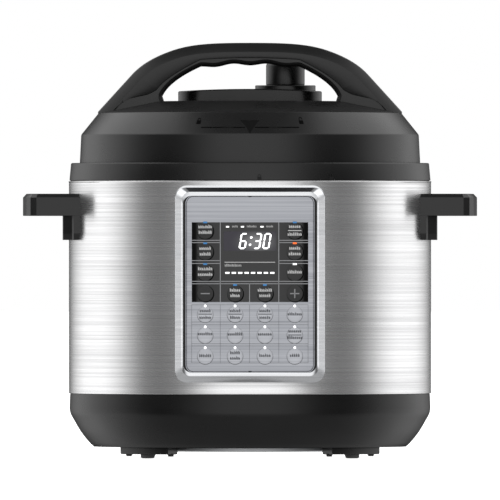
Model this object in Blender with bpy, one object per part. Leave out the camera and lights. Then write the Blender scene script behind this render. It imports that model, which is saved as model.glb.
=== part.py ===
"""Electric pressure cooker: a steel body, a bayonet lid and a keypad, in metres with +Z up.

The pot sets the radii and the heights: each ring around it is the last one plus a wall or a gap.
The front of the cooker faces -Y. Every piece is one object, parented to the empty it moves with.
"""

import math

import bmesh
import bpy

# Fits and facets
FIT = 0.0003                 # gap between pieces that touch
SEGMENTS = 40                # facets round the large turned pieces
SMALL_SEGMENTS = 12          # facets round keys, pins and valves
CORNER_STEPS = 4             # points less one in each rounded corner

# Inner pot
POT_RADIUS = 0.1100          # inside
POT_DEPTH = 0.1521           # inside, up to the rim
POT_WALL = 0.0008
POT_BASE = 0.0020
POT_CORNER = 0.0120
POT_RIM_WIDTH = 0.0077
POT_UNDERSIDE = 0.0620       # height of the pot's underside above the table

# Locking pot that carries the bayonet lugs
POT_GAP = 0.0027
LOCK_WALL = 0.0015
LOCK_BAND = 0.0045           # thickness of the band under the lugs
LOCK_BAND_HEIGHT = 0.0120
LOCK_FLOOR = 0.0445
SENSOR_WIRE_HOLE = 0.0080
LUG_COUNT = 6
LUG_LENGTH = 0.0055
LUG_THICKNESS = 0.0027
LUG_ANGLE = math.radians(25)
LUG_SIDE_GAP = 0.0015        # radial gap at the tip of a lug
LUG_LIFT_GAP = 0.0010        # gap between a lid lug and the lug above it

# Lid
LID_SHEET = 0.0010
LID_LUG_THICKNESS = 0.0025
COVER_WALL = 0.0016
COVER_ROOF = 0.0022
COVER_SKIRT = 0.0260
COVER_DRAFT = 0.0013
SHOULDER_HEIGHT = 0.0164
SHOULDER_INSET = 0.0132
DECK_HEIGHT = 0.0088
DECK_INSET = 0.0414
COVER_OVERLAP = 0.0048       # how far the skirt sits inside the rim ring
DOME_HEIGHT = 0.0190         # inner lid, above its shoulder
DOME_SHOULDER = 0.0122       # inner lid skirt, above its lugs

# Rim ring and steel wall
RIM_GAP = 0.0006
RIM_WIDTH = 0.0072
RIM_HEIGHT = 0.0129
RIM_FLOOR = 0.0020
CHANNEL_DEPTH = 0.0024       # under the lid lugs
STEEL_SHEET = 0.0008
SEAM = 0.0004
RIM_SEAM = 0.0007
STEEL_REVEAL = 0.0008        # steel edge above the channel floor

# Base
RUBBER_HEIGHT = 0.0030
RUBBER_RADIUS = 0.0052
RUBBER_RECESS = 0.0015
FOOT_HEIGHT = 0.0052
FOOT_INSET = 0.0277          # middle of a foot, in from the steel wall
FOOT_WIDTH = 0.0130
FOOT_ANGLE = math.radians(27)
BASE_HEIGHT = 0.0394
BASE_WALL = 0.0025
BASE_LIP = 0.0060
BASE_HOLE_INSET = 0.0477
COVER_DISC_LAP = 0.0060
COVER_DISC_DROP = 0.0032

# Keypad bezel, panel and display
BEZEL_HALF_WIDTH = 0.0557
BEZEL_LOW_GAP = 0.0089       # above the lower edge of the steel wall
BEZEL_TOP_GAP = 0.0036       # below the upper edge of the steel wall
BEZEL_SLOPE = 0.0049
BEZEL_CORNER = 0.0090
BEZEL_REACH = 0.0078         # front plane, out from the steel wall
BEZEL_DEPTH = 0.0255
BEZEL_FRAME = 0.0020         # width of the flat frame around the panel
PANEL_SET_BACK = 0.0010
PANEL_THICKNESS = 0.0025
PANEL_CORNER = 0.0065
KEY_RADIUS = 0.0060
KEY_FLANGE = 0.0012
KEY_PROUD = 0.0004
KEY_COLUMN = 0.0222          # pitch of the columns
KEY_TOP_MARGIN = 0.0266
KEY_LOW_MARGIN = 0.0125
KEY_ROWS = 7
DISPLAY_HALF_WIDTH = 0.0196
DISPLAY_HEIGHT = 0.0144
DISPLAY_LIFT = 0.0002        # middle of the display above the first free row
BOARD_SHEET = 0.0016
BOARD_MARGIN = 0.0040
BOARD_SET_BACK = 0.0080

# Side handles
HANDLE_REACH = 0.0345        # out from the steel wall
HANDLE_HALF_WIDTH = 0.0480
HANDLE_THICKNESS = 0.0165
HANDLE_DROP = 0.0095         # top of the shelf below the steel's upper edge
HANDLE_PAD_REACH = 0.0046
HANDLE_PAD_DROP = 0.0181
HANDLE_WALL = 0.0045
HANDLE_CORNER = 0.0120
HANDLE_EDGE = 0.0027

# Side of the base as (in from the body's radius, down from the base's top)
BASE_CURVE = [(0.0005, 0.0), (0.0007, 0.0107), (0.0041, 0.0192), (0.0095, 0.0283)]
BASE_FLOOR_INSET = 0.0192

# Lid handle
GRIP_HEIGHT = 0.0437         # top of the arch above the deck
GRIP_OVERHANG = 0.0016
GRIP_HALF_WIDTH = 0.0175
GRIP_FOOT_SPREAD = 0.0065
GRIP_CHAMFER = 0.0072
GRIP_CHAMFER_DEPTH = 0.0060
LEG_TOP_INSET = 0.0268
LEG_TOP_DROP = 0.0235
SHOULDER_BEND = (0.0373, 0.0121)
CROWN_INSET = 0.0583
CROWN_DROP = 0.0054
FINGER_HALF_WIDTH = 0.0657
FINGER_ROOF = 0.0160         # underside of the grip below the top of the arch
FINGER_WAVE = 0.0008
FINGER_PITCH = 0.0255
FINGER_SAG = 1.8             # fall of the underside, per metre of x squared
GRIP_FRAME = 0.0034
GRIP_FOOT_INSET = 0.0195      # lower half of the handle, in from the shoulder

# Valve platform and valves
VALVE_X = 0.0266             # steam valve at +X, float valve at -X
VALVE_Y = 0.0460
PLATFORM_HALF_LENGTH = 0.0540
PLATFORM_HALF_WIDTH = 0.0250
PLATFORM_RISE = 0.0094
PLATFORM_SKIRT = 0.0092
PLATFORM_WALL = 0.0025
PLATFORM_CORNER = 0.0110
SEAT_RADIUS = 0.0227
SEAT_COLLAR = 0.0080
SEAT_HEIGHT = 0.0025
PIPE_RADIUS = 0.0040
PIPE_BORE = 0.0015
PIPE_TOP = 0.0060            # above the seat
PIPE_FLANGE = 0.0075
NUT_RADIUS = 0.0085
NUT_HEIGHT = 0.0055
SHIELD_RADIUS = 0.0130
SHIELD_HEIGHT = 0.0145
SHIELD_SHEET = 0.0008
KNOB_RADIUS = 0.01455
KNOB_HEIGHT = 0.0226
KNOB_WALL = 0.0020
WEIGHT_RADIUS = 0.0070
WEIGHT_HEIGHT = 0.0062
FLOAT_RADIUS = 0.0034
FLOAT_STEM = 0.0026
FLOAT_TRAVEL = 0.0045

# Sealing ring and its rack
RING_OUTSIDE = 0.0070        # past the pot's inside radius
RING_INSIDE = 0.0020         # inside the pot's inside radius
RING_HEIGHT = 0.0092
RACK_WIDTH = 0.0031
RACK_HEIGHT = 0.0020

# Heater and sensor
HEATER_INSET = 0.0150
HEATER_THICKNESS = 0.0117
HEATER_FOOT = 0.0040
SENSOR_RADIUS = 0.0168
SENSOR_SHEET = 0.0012
SENSOR_SKIRT = 0.0105
SPRING_RADIUS = 0.0110
SPRING_WIRE = 0.0012
SPRING_TURNS = 4

# Rear fittings
INLET_HALF_WIDTH = 0.0135
INLET_HEIGHT = 0.0200
INLET_LOW = 0.0190
INLET_DEPTH = 0.0200
INLET_WALL = 0.0022
PIN_DEPTH = 0.0100
BOSS_MARGIN = 0.0060
BOSS_REACH = 0.0015
BRACKET_HALF_WIDTH = 0.0270
BRACKET_THICKNESS = 0.0053
BRACKET_HEIGHT = 0.0480
COLLECTOR_HALF_WIDTH = 0.0280
COLLECTOR_DEPTH = 0.0187
COLLECTOR_HEIGHT = 0.0498
COLLECTOR_WALL = 0.0017
CHUTE_HALF_WIDTH = 0.0090
CHUTE_WALL = 0.0030

# Radii worked out from the pot outwards
POT_OUTSIDE = POT_RADIUS + POT_WALL
LOCK_INSIDE = POT_OUTSIDE + POT_GAP
LOCK_OUTSIDE = LOCK_INSIDE + LOCK_WALL
BAND_OUTSIDE = LOCK_INSIDE + LOCK_BAND
LUG_TIP = BAND_OUTSIDE + LUG_LENGTH
SKIRT_INSIDE = LUG_TIP + LUG_SIDE_GAP
SKIRT_OUTSIDE = SKIRT_INSIDE + LID_SHEET
LID_LUG_TIP = BAND_OUTSIDE + LUG_SIDE_GAP
COVER_INSIDE = SKIRT_OUTSIDE + FIT
COVER_OUTSIDE = COVER_INSIDE + COVER_WALL
RIM_INSIDE = COVER_OUTSIDE + RIM_GAP
BODY_RADIUS = RIM_INSIDE + RIM_WIDTH
STEEL_INSIDE = BODY_RADIUS - STEEL_SHEET
SHOULDER_RADIUS = COVER_OUTSIDE - COVER_DRAFT - SHOULDER_INSET
DECK_RADIUS = SHOULDER_RADIUS - DECK_INSET

# Heights worked out from the table and the pot upwards
BASE_FLOOR = RUBBER_HEIGHT + FOOT_HEIGHT
BASE_TOP = BASE_FLOOR + BASE_HEIGHT
STEEL_LOW = BASE_TOP + SEAM
POT_RIM = POT_UNDERSIDE + POT_BASE + POT_DEPTH
LUG_TOP = POT_RIM - POT_WALL - FIT
LUG_LOW = LUG_TOP - LUG_THICKNESS
LID_LUG_TOP = LUG_LOW - LUG_LIFT_GAP
LID_LOW = LID_LUG_TOP - LID_LUG_THICKNESS
CHANNEL_FLOOR = LID_LOW - CHANNEL_DEPTH
STEEL_TOP = CHANNEL_FLOOR + STEEL_REVEAL
RIM_LOW = STEEL_TOP + RIM_SEAM
RIM_TOP = RIM_LOW + RIM_HEIGHT
COVER_LOW = RIM_TOP - COVER_OVERLAP
SKIRT_TOP = COVER_LOW + COVER_SKIRT
SHOULDER_TOP = SKIRT_TOP + SHOULDER_HEIGHT
DECK_TOP = SHOULDER_TOP + DECK_HEIGHT
DOME_LOW = LID_LOW + DOME_SHOULDER
VALVE_RADIUS = math.hypot(VALVE_X, VALVE_Y)
GRIP_TOP = DECK_TOP + GRIP_HEIGHT
PLATFORM_TOP = DECK_TOP + PLATFORM_RISE
SEAT_LOW = PLATFORM_TOP + FIT
SEAT_TOP = SEAT_LOW + SEAT_HEIGHT
PIPE_TIP = SEAT_TOP + PIPE_TOP
KNOB_LOW = SEAT_TOP + FIT

# Places worked out along Y
BEZEL_FRONT = -(BODY_RADIUS + BEZEL_REACH)
PANEL_FRONT = BEZEL_FRONT + PANEL_SET_BACK
PANEL_BACK = PANEL_FRONT + PANEL_THICKNESS
PANEL_HALF_WIDTH = BEZEL_HALF_WIDTH - BEZEL_SLOPE - BEZEL_FRAME - FIT
BOARD_FRONT = PANEL_BACK + BOARD_SET_BACK
BEZEL_LOW = STEEL_LOW + BEZEL_LOW_GAP
BEZEL_TOP = STEEL_TOP - BEZEL_TOP_GAP
PANEL_LOW = BEZEL_LOW + BEZEL_SLOPE + BEZEL_FRAME + FIT
PANEL_TOP = BEZEL_TOP - BEZEL_SLOPE - BEZEL_FRAME - FIT
BRACKET_BACK = BODY_RADIUS + BRACKET_THICKNESS
COLLECTOR_FRONT = BRACKET_BACK + FIT
COLLECTOR_BACK = COLLECTOR_FRONT + COLLECTOR_DEPTH
COLLECTOR_TOP = CHANNEL_FLOOR - 0.0065
AXIS_Y = -(BEZEL_FRONT + COLLECTOR_BACK) / 2    # puts the middle of the whole cooker over the origin


def clear_scene():
    for old in list(bpy.data.objects):
        bpy.data.objects.remove(old, do_unlink=True)


def finish(name, colour, roughness, metallic=0.0):
    material = bpy.data.materials.new(name)
    material.use_nodes = True
    shader = material.node_tree.nodes["Principled BSDF"]
    shader.inputs["Base Color"].default_value = (*colour, 1.0)
    shader.inputs["Roughness"].default_value = roughness
    shader.inputs["Metallic"].default_value = metallic
    return material


def empty(name, location, parent=None):
    marker = bpy.data.objects.new(name, None)
    marker.location = location
    marker.parent = parent
    bpy.context.scene.collection.objects.link(marker)
    return marker


def make(name, bm, coat, parent, location=(0.0, 0.0, 0.0)):
    """Turns the mesh into a named object with outward faces."""
    bmesh.ops.recalc_face_normals(bm, faces=bm.faces)
    mesh = bpy.data.meshes.new(name)
    bm.to_mesh(mesh)
    bm.free()
    mesh.materials.append(coat)
    mesh.shade_smooth()
    mesh.set_sharp_from_angle(angle=math.radians(35))
    piece = bpy.data.objects.new(name, mesh)
    piece.location = location
    piece.parent = parent
    bpy.context.scene.collection.objects.link(piece)
    return piece


def combine(piece, bm, operation):
    """Cuts the mesh out of the piece, or joins it on, with a live Boolean."""
    guide = make(f"{piece.name}_{operation.lower()}", bm, piece.data.materials[0], piece.parent,
                 piece.location)
    guide.hide_render = True
    guide.display_type = "WIRE"
    modifier = piece.modifiers.new(operation.lower(), "BOOLEAN")
    modifier.operation = operation
    modifier.object = guide


def cut(piece, bm):
    combine(piece, bm, "DIFFERENCE")


def join(piece, bm):
    combine(piece, bm, "UNION")


def add_rings(bm, rings, closed=False):
    """Skins rings of points; the ends are capped unless the last ring meets the first."""
    made = [[bm.verts.new(point) for point in ring] for ring in rings]
    count = len(made[0])
    pairs = list(zip(made, made[1:]))
    if closed:
        pairs.append((made[-1], made[0]))
    for lower, upper in pairs:
        for i in range(count):
            j = (i + 1) % count
            bm.faces.new((lower[i], lower[j], upper[j], upper[i]))
    if not closed:
        bm.faces.new(made[0])
        bm.faces.new(made[-1])


def add_turned(bm, profile, centre=(0.0, 0.0), segments=SEGMENTS):
    """Carries a closed (radius, height) outline once round a vertical axis."""
    rings = []
    for radius, height in profile:
        if radius == 0.0:
            rings.append([bm.verts.new((centre[0], centre[1], height))] * segments)
            continue
        ring = []
        for i in range(segments):
            turn = 2 * math.pi * i / segments
            x = centre[0] + radius * math.cos(turn)
            y = centre[1] + radius * math.sin(turn)
            ring.append(bm.verts.new((x, y, height)))
        rings.append(ring)
    for ring, following in zip(rings, rings[1:] + rings[:1]):
        for i in range(segments):
            j = (i + 1) % segments
            corners = dict.fromkeys((ring[i], ring[j], following[j], following[i]))
            if len(corners) > 2:
                bm.faces.new(tuple(corners))


def add_prism(bm, outline, low, high, along="Z"):
    """Extrudes an outline along X, Y or Z."""
    place = {
        "X": lambda a, b, c: (c, a, b),
        "Y": lambda a, b, c: (a, c, b),
        "Z": lambda a, b, c: (a, b, c),
    }[along]
    add_rings(bm, [[place(a, b, level) for a, b in outline] for level in (low, high)])


def add_block(bm, low, high):
    outline = [(low[0], low[1]), (high[0], low[1]), (high[0], high[1]), (low[0], high[1])]
    add_prism(bm, outline, low[2], high[2])


def add_sector(bm, inside, outside, middle, width, low, high, steps=4):
    """A block bent round the Z axis."""
    turns = [middle - width / 2 + width * i / steps for i in range(steps + 1)]
    outline = [(outside * math.cos(turn), outside * math.sin(turn)) for turn in turns]
    outline += [(inside * math.cos(turn), inside * math.sin(turn)) for turn in reversed(turns)]
    add_prism(bm, outline, low, high)


def add_cylinder(bm, radius, low, high, centre=(0.0, 0.0), segments=SMALL_SEGMENTS):
    add_turned(bm, [(0.0, low), (radius, low), (radius, high), (0.0, high)], centre, segments)


def rounded(low_a, high_a, low_b, high_b, radius, steps=CORNER_STEPS):
    """A rectangle with round corners, from its lower left corner round."""
    outline = []
    corners = [(low_a, low_b, 180), (high_a, low_b, 270), (high_a, high_b, 0), (low_a, high_b, 90)]
    for a, b, start in corners:
        centre_a = a + radius if a == low_a else a - radius
        centre_b = b + radius if b == low_b else b - radius
        for i in range(steps + 1):
            turn = math.radians(start + 90 * i / steps)
            outline.append((centre_a + radius * math.cos(turn), centre_b + radius * math.sin(turn)))
    return outline


def curve(start, bend, end, steps):
    """Points of a quadratic curve, leaving out its start."""
    points = []
    for i in range(1, steps + 1):
        t = i / steps
        weights = ((1 - t) ** 2, 2 * t * (1 - t), t ** 2)
        points.append(tuple(
            sum(weight * point[k] for weight, point in zip(weights, (start, bend, end)))
            for k in range(2)
        ))
    return points


def offset(line, distance):
    """Moves an open line sideways, to its left as it runs."""
    moved = []
    for i, (a, b) in enumerate(line):
        before = line[max(i - 1, 0)]
        after = line[min(i + 1, len(line) - 1)]
        run = (after[0] - before[0], after[1] - before[1])
        length = math.hypot(*run)
        moved.append((a - run[1] / length * distance, b + run[0] / length * distance))
    return moved


def mirrored(half):
    """Adds the +X half of a line that runs from -X up to its middle point at x = 0."""
    return half + [(-a, b) for a, b in reversed(half[:-1])]


def lug_turns():
    return [2 * math.pi * i / LUG_COUNT - math.pi / 2 for i in range(LUG_COUNT)]


def make_base(frame, plastic, rubber, zinc):
    outer = [
        *[(BODY_RADIUS - inward, BASE_TOP - down) for inward, down in BASE_CURVE],
        (BODY_RADIUS - BASE_FLOOR_INSET, BASE_FLOOR),
    ]
    hole = BODY_RADIUS - BASE_HOLE_INSET
    lip_outside = STEEL_INSIDE - FIT
    lip_inside = lip_outside - 0.0022
    inner = [
        (hole, BASE_FLOOR),
        (hole, BASE_FLOOR + BASE_WALL),
        (outer[4][0] - 0.0013, BASE_FLOOR + BASE_WALL),
        (outer[3][0] - BASE_WALL, outer[3][1] + 0.0012),
        (outer[2][0] - BASE_WALL, outer[2][1] + 0.0006),
        (lip_inside, outer[1][1]),
        (lip_inside, BASE_TOP + BASE_LIP),
        (lip_outside, BASE_TOP + BASE_LIP),
        (lip_outside, BASE_TOP),
    ]
    bm = bmesh.new()
    add_turned(bm, outer + inner)
    base = make("base_housing", bm, plastic, frame)

    foot_radius = BODY_RADIUS - FOOT_INSET
    boss_half = INLET_HALF_WIDTH + BOSS_MARGIN
    boss_low = INLET_LOW - BOSS_MARGIN
    boss_top = INLET_LOW + INLET_HEIGHT + BOSS_MARGIN
    boss_back = BODY_RADIUS + BOSS_REACH
    added = bmesh.new()
    add_block(added, (-boss_half, boss_back - INLET_DEPTH, boss_low), (boss_half, boss_back, boss_top))
    for k in range(4):
        turn = math.radians(45 + 90 * k)
        add_sector(added, foot_radius - FOOT_WIDTH / 2, foot_radius + FOOT_WIDTH / 2, turn, FOOT_ANGLE,
                   RUBBER_HEIGHT, BASE_FLOOR + BASE_WALL / 2)
    join(base, added)

    removed = bmesh.new()
    add_block(
        removed,
        (-INLET_HALF_WIDTH - FIT, boss_back - INLET_DEPTH - 0.01, INLET_LOW - FIT),
        (INLET_HALF_WIDTH + FIT, boss_back + 0.01, INLET_LOW + INLET_HEIGHT + FIT),
    )
    for k in range(4):
        turn = math.radians(45 + 90 * k)
        centre = (foot_radius * math.cos(turn), foot_radius * math.sin(turn))
        add_cylinder(removed, RUBBER_RADIUS + FIT, RUBBER_HEIGHT - 0.001,
                     RUBBER_HEIGHT + RUBBER_RECESS + FIT, centre)
        foot = bmesh.new()
        add_turned(foot, [
            (0.0, 0.0),
            (RUBBER_RADIUS - 0.0006, 0.0),
            (RUBBER_RADIUS, 0.0008),
            (RUBBER_RADIUS, RUBBER_HEIGHT + RUBBER_RECESS),
            (0.0, RUBBER_HEIGHT + RUBBER_RECESS),
        ], segments=SMALL_SEGMENTS)
        make(f"rubber_foot_{k + 1}", foot, rubber, frame, (*centre, 0.0))
    cut(base, removed)

    disc = hole + COVER_DISC_LAP
    low = BASE_FLOOR - COVER_DISC_DROP
    bm = bmesh.new()
    add_turned(bm, [
        (0.0, low),
        (disc - 0.001, low),
        (disc, low + 0.001),
        (disc, BASE_FLOOR - FIT),
        (disc - STEEL_SHEET, BASE_FLOOR - FIT),
        (disc - STEEL_SHEET, low + STEEL_SHEET),
        (0.0, low + STEEL_SHEET),
    ])
    make("bottom_cover", bm, zinc, frame)


def make_inlet(frame, plastic):
    back = BODY_RADIUS + BOSS_REACH
    front = back - INLET_DEPTH
    low = INLET_LOW
    high = INLET_LOW + INLET_HEIGHT
    bm = bmesh.new()
    add_block(bm, (-INLET_HALF_WIDTH, front, low), (INLET_HALF_WIDTH, back, high))
    inlet = make("power_inlet", bm, plastic, frame)
    floor = front + 0.006
    recess = bmesh.new()
    corner = 0.0050
    half = INLET_HALF_WIDTH - INLET_WALL
    outline = [
        (-half, low + INLET_WALL),
        (half, low + INLET_WALL),
        (half, high - INLET_WALL - corner),
        (half - corner, high - INLET_WALL),
        (corner - half, high - INLET_WALL),
        (-half, high - INLET_WALL - corner),
    ]
    add_prism(recess, outline, floor, back + 0.005, along="Y")
    cut(inlet, recess)
    pins = bmesh.new()
    middle = (low + high) / 2
    for x, z in ((-0.007, middle - 0.002), (0.007, middle - 0.002), (0.0, middle + 0.002)):
        add_block(pins, (x - 0.001, floor - 0.002, z - 0.002), (x + 0.001, floor + PIN_DEPTH, z + 0.002))
    join(inlet, pins)


def make_walls(frame, steel, plastic):
    bm = bmesh.new()
    add_turned(bm, [
        (BODY_RADIUS, STEEL_TOP),
        (BODY_RADIUS, STEEL_LOW),
        (STEEL_INSIDE, STEEL_LOW),
        (STEEL_INSIDE, STEEL_TOP),
    ])
    wall = make("outer_housing", bm, steel, frame)
    window = bmesh.new()
    outline = rounded(-BEZEL_HALF_WIDTH - FIT, BEZEL_HALF_WIDTH + FIT, BEZEL_LOW - FIT, BEZEL_TOP + FIT,
                      BEZEL_CORNER + FIT)
    add_prism(window, outline, -BODY_RADIUS - 0.01, -BODY_RADIUS / 2, along="Y")
    cut(wall, window)

    inside_lip = STEEL_INSIDE - FIT
    bm = bmesh.new()
    add_turned(bm, [
        (BODY_RADIUS - 0.0015, RIM_TOP),
        (BODY_RADIUS - 0.0003, RIM_LOW),
        (inside_lip, RIM_LOW),
        (inside_lip, CHANNEL_FLOOR - RIM_FLOOR),
        (BAND_OUTSIDE + FIT, CHANNEL_FLOOR - RIM_FLOOR),
        (BAND_OUTSIDE + FIT, CHANNEL_FLOOR),
        (RIM_INSIDE, CHANNEL_FLOOR),
        (RIM_INSIDE, RIM_TOP),
    ])
    rim = make("rim_ring", bm, plastic, frame)
    drain = bmesh.new()
    half = CHUTE_HALF_WIDTH - CHUTE_WALL
    add_block(drain, (-half, RIM_INSIDE - 0.005, STEEL_TOP + RIM_SEAM + 0.0003),
              (half, BODY_RADIUS + 0.01, STEEL_TOP + 0.0045))
    cut(rim, drain)


def make_locking_pot(frame, cast):
    bm = bmesh.new()
    add_turned(bm, [
        (SENSOR_WIRE_HOLE, LOCK_FLOOR),
        (LOCK_OUTSIDE, LOCK_FLOOR),
        (LOCK_OUTSIDE, LUG_TOP - LOCK_BAND_HEIGHT - LOCK_BAND + LOCK_WALL),
        (BAND_OUTSIDE, LUG_TOP - LOCK_BAND_HEIGHT),
        (BAND_OUTSIDE, LUG_TOP),
        (LOCK_INSIDE, LUG_TOP),
        (LOCK_INSIDE, LOCK_FLOOR + LOCK_WALL),
        (SENSOR_WIRE_HOLE, LOCK_FLOOR + LOCK_WALL),
    ])
    pot = make("locking_pot", bm, cast, frame)
    lugs = bmesh.new()
    for turn in lug_turns():
        add_sector(lugs, BAND_OUTSIDE - 0.0015, LUG_TIP, turn, LUG_ANGLE, LUG_LOW, LUG_TOP)
    join(pot, lugs)


def make_inner_pot(pot_frame, bright):
    bm = bmesh.new()
    inside = POT_UNDERSIDE + POT_BASE
    outer = POT_OUTSIDE - POT_CORNER
    corner_out = curve((outer, POT_UNDERSIDE), (POT_OUTSIDE, POT_UNDERSIDE),
                       (POT_OUTSIDE, POT_UNDERSIDE + POT_CORNER), 3)
    corner_in = curve((POT_RADIUS, inside + POT_CORNER), (POT_RADIUS, inside),
                      (POT_RADIUS - POT_CORNER, inside), 3)
    rim = POT_RADIUS + POT_WALL + POT_RIM_WIDTH
    add_turned(bm, [
        (0.0, POT_UNDERSIDE),
        (outer, POT_UNDERSIDE),
        *corner_out,
        (POT_OUTSIDE, POT_RIM - POT_WALL),
        (rim, POT_RIM - POT_WALL),
        (rim, POT_RIM),
        (POT_RADIUS, POT_RIM),
        (POT_RADIUS, inside + POT_CORNER),
        *corner_in,
        (0.0, inside),
    ])
    make("inner_pot", bm, bright, pot_frame)


def make_heater(frame, cast, bright, spring_steel):
    hole = SENSOR_RADIUS + 0.0012
    outside = POT_RADIUS - HEATER_INSET
    top = POT_UNDERSIDE - FIT
    low = top - HEATER_THICKNESS
    seat = LOCK_FLOOR + LOCK_WALL + FIT
    bm = bmesh.new()
    add_turned(bm, [
        (hole, top),
        (outside - 0.002, top),
        (outside, top - 0.002),
        (outside, low),
        (0.62 * outside, low),
        (0.62 * outside, seat),
        (0.62 * outside - HEATER_FOOT, seat),
        (0.62 * outside - HEATER_FOOT, low),
        (hole, low),
    ])
    make("heating_plate", bm, cast, frame)

    sensor = empty("sensor_axis", (0.0, 0.0, 0.0), frame)
    inside = SENSOR_RADIUS - SENSOR_SHEET
    bm = bmesh.new()
    add_turned(bm, [
        (0.0, top),
        (SENSOR_RADIUS - 0.001, top),
        (SENSOR_RADIUS, top - 0.001),
        (SENSOR_RADIUS, top - SENSOR_SKIRT),
        (inside, top - SENSOR_SKIRT),
        (inside, top - SENSOR_SHEET),
        (0.0, top - SENSOR_SHEET),
    ], segments=24)
    make("sensor_plunger", bm, bright, sensor)

    low = seat + SPRING_WIRE / 2
    high = top - SENSOR_SHEET - FIT - SPRING_WIRE / 2
    steps = 8 * SPRING_TURNS
    rings = []
    for i in range(steps + 1):
        turn = 2 * math.pi * SPRING_TURNS * i / steps
        height = low + (high - low) * i / steps
        ring = []
        for k in range(4):
            round_wire = 2 * math.pi * k / 4
            radius = SPRING_RADIUS + SPRING_WIRE / 2 * math.cos(round_wire)
            ring.append((
                radius * math.cos(turn),
                radius * math.sin(turn),
                height + SPRING_WIRE / 2 * math.sin(round_wire),
            ))
        rings.append(ring)
    bm = bmesh.new()
    add_rings(bm, rings)
    make("sensor_spring", bm, spring_steel, frame)


def make_power_board(frame, board):
    low = BASE_FLOOR + BASE_WALL + 0.004
    bm = bmesh.new()
    add_block(bm, (-0.055, -0.075, low), (0.055, 0.020, low + BOARD_SHEET))
    piece = make("power_board", bm, board, frame)
    parts = bmesh.new()
    floor = low + BOARD_SHEET / 2
    add_block(parts, (-0.045, -0.060, floor), (-0.015, -0.032, floor + 0.024))
    add_block(parts, (0.010, -0.055, floor), (0.030, -0.038, floor + 0.018))
    add_block(parts, (-0.030, -0.012, floor), (-0.008, 0.010, floor + 0.016))
    add_cylinder(parts, 0.007, floor, floor + 0.022, (0.035, 0.000))
    join(piece, parts)


def key_places():
    """Name and (x, z) of every key: eight columns short of a grid, because the display fills the middle."""
    top = PANEL_TOP - KEY_TOP_MARGIN
    low = PANEL_LOW + KEY_LOW_MARGIN
    pitch = (top - low) / (KEY_ROWS - 1)
    columns = [KEY_COLUMN * (i - 1.5) for i in range(4)]
    places = []
    for row in range(KEY_ROWS):
        used = (0, 3) if row < 3 else range(4)
        for column in used:
            places.append((f"key_{row + 1}_{column + 1}", columns[column], top - pitch * row))
    return places


def make_keypad(frame, chrome, panel_coat, glass, board, dark_key, silver_key):
    back = rounded(-BEZEL_HALF_WIDTH, BEZEL_HALF_WIDTH, BEZEL_LOW, BEZEL_TOP, BEZEL_CORNER)
    front = rounded(-BEZEL_HALF_WIDTH + BEZEL_SLOPE, BEZEL_HALF_WIDTH - BEZEL_SLOPE,
                    BEZEL_LOW + BEZEL_SLOPE, BEZEL_TOP - BEZEL_SLOPE, BEZEL_CORNER - 0.0015)
    window = rounded(-PANEL_HALF_WIDTH - FIT, PANEL_HALF_WIDTH + FIT, PANEL_LOW - FIT, PANEL_TOP + FIT,
                     PANEL_CORNER)
    rear = BEZEL_FRONT + BEZEL_DEPTH
    rings = [
        [(x, rear, z) for x, z in back],
        [(x, -math.sqrt(BODY_RADIUS ** 2 - x ** 2), z) for x, z in back],
        [(x, BEZEL_FRONT, z) for x, z in front],
        [(x, BEZEL_FRONT, z) for x, z in window],
        [(x, rear, z) for x, z in window],
    ]
    bm = bmesh.new()
    add_rings(bm, rings, closed=True)
    make("control_bezel", bm, chrome, frame)

    bm = bmesh.new()
    add_prism(bm, rounded(-PANEL_HALF_WIDTH, PANEL_HALF_WIDTH, PANEL_LOW, PANEL_TOP, PANEL_CORNER),
              PANEL_FRONT, PANEL_BACK, along="Y")
    panel = make("control_panel", bm, panel_coat, frame)
    places = key_places()
    holes = bmesh.new()
    for _, x, z in places:
        outline = [
            (x + (KEY_RADIUS + FIT) * math.cos(2 * math.pi * i / SMALL_SEGMENTS),
             z + (KEY_RADIUS + FIT) * math.sin(2 * math.pi * i / SMALL_SEGMENTS))
            for i in range(SMALL_SEGMENTS)
        ]
        add_prism(holes, outline, PANEL_FRONT - 0.002, PANEL_BACK + 0.002, along="Y")
    rows = sorted({z for _, _, z in places}, reverse=True)
    display_low = (rows[0] + rows[1]) / 2 + DISPLAY_LIFT - DISPLAY_HEIGHT / 2
    display_high = display_low + DISPLAY_HEIGHT
    half = DISPLAY_HALF_WIDTH
    add_block(holes, (-half - FIT, PANEL_FRONT - 0.002, display_low - FIT),
              (half + FIT, PANEL_BACK + 0.002, display_high + FIT))
    cut(panel, holes)

    bm = bmesh.new()
    add_block(bm, (-half, PANEL_FRONT, display_low), (half, PANEL_BACK, display_high))
    make("display_lens", bm, glass, frame)

    bm = bmesh.new()
    add_block(bm, (-PANEL_HALF_WIDTH + BOARD_MARGIN, BOARD_FRONT, PANEL_LOW + BOARD_MARGIN),
              (PANEL_HALF_WIDTH - BOARD_MARGIN, BOARD_FRONT + BOARD_SHEET, PANEL_TOP - BOARD_MARGIN))
    display_board = make("display_board", bm, board, frame)
    module = bmesh.new()
    add_block(module, (-half + 0.001, PANEL_BACK + FIT, display_low + 0.001),
              (half - 0.001, BOARD_FRONT + BOARD_SHEET / 2, display_high - 0.001))
    join(display_board, module)

    profile = [
        (0.0, KEY_PROUD),
        (KEY_RADIUS, KEY_PROUD),
        (KEY_RADIUS, -PANEL_THICKNESS - FIT),
        (KEY_RADIUS + KEY_FLANGE, -PANEL_THICKNESS - FIT),
        (KEY_RADIUS + KEY_FLANGE, -PANEL_THICKNESS - 0.0015),
        (0.0, -PANEL_THICKNESS - 0.0015),
    ]
    for name, x, z in places:
        bm = bmesh.new()
        add_turned(bm, profile, segments=SMALL_SEGMENTS)
        coat = dark_key if z > rows[4] + 0.001 else silver_key
        key = make(name, bm, coat, frame, (x, PANEL_FRONT, z))
        key.rotation_euler = (math.pi / 2, 0.0, 0.0)


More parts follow.
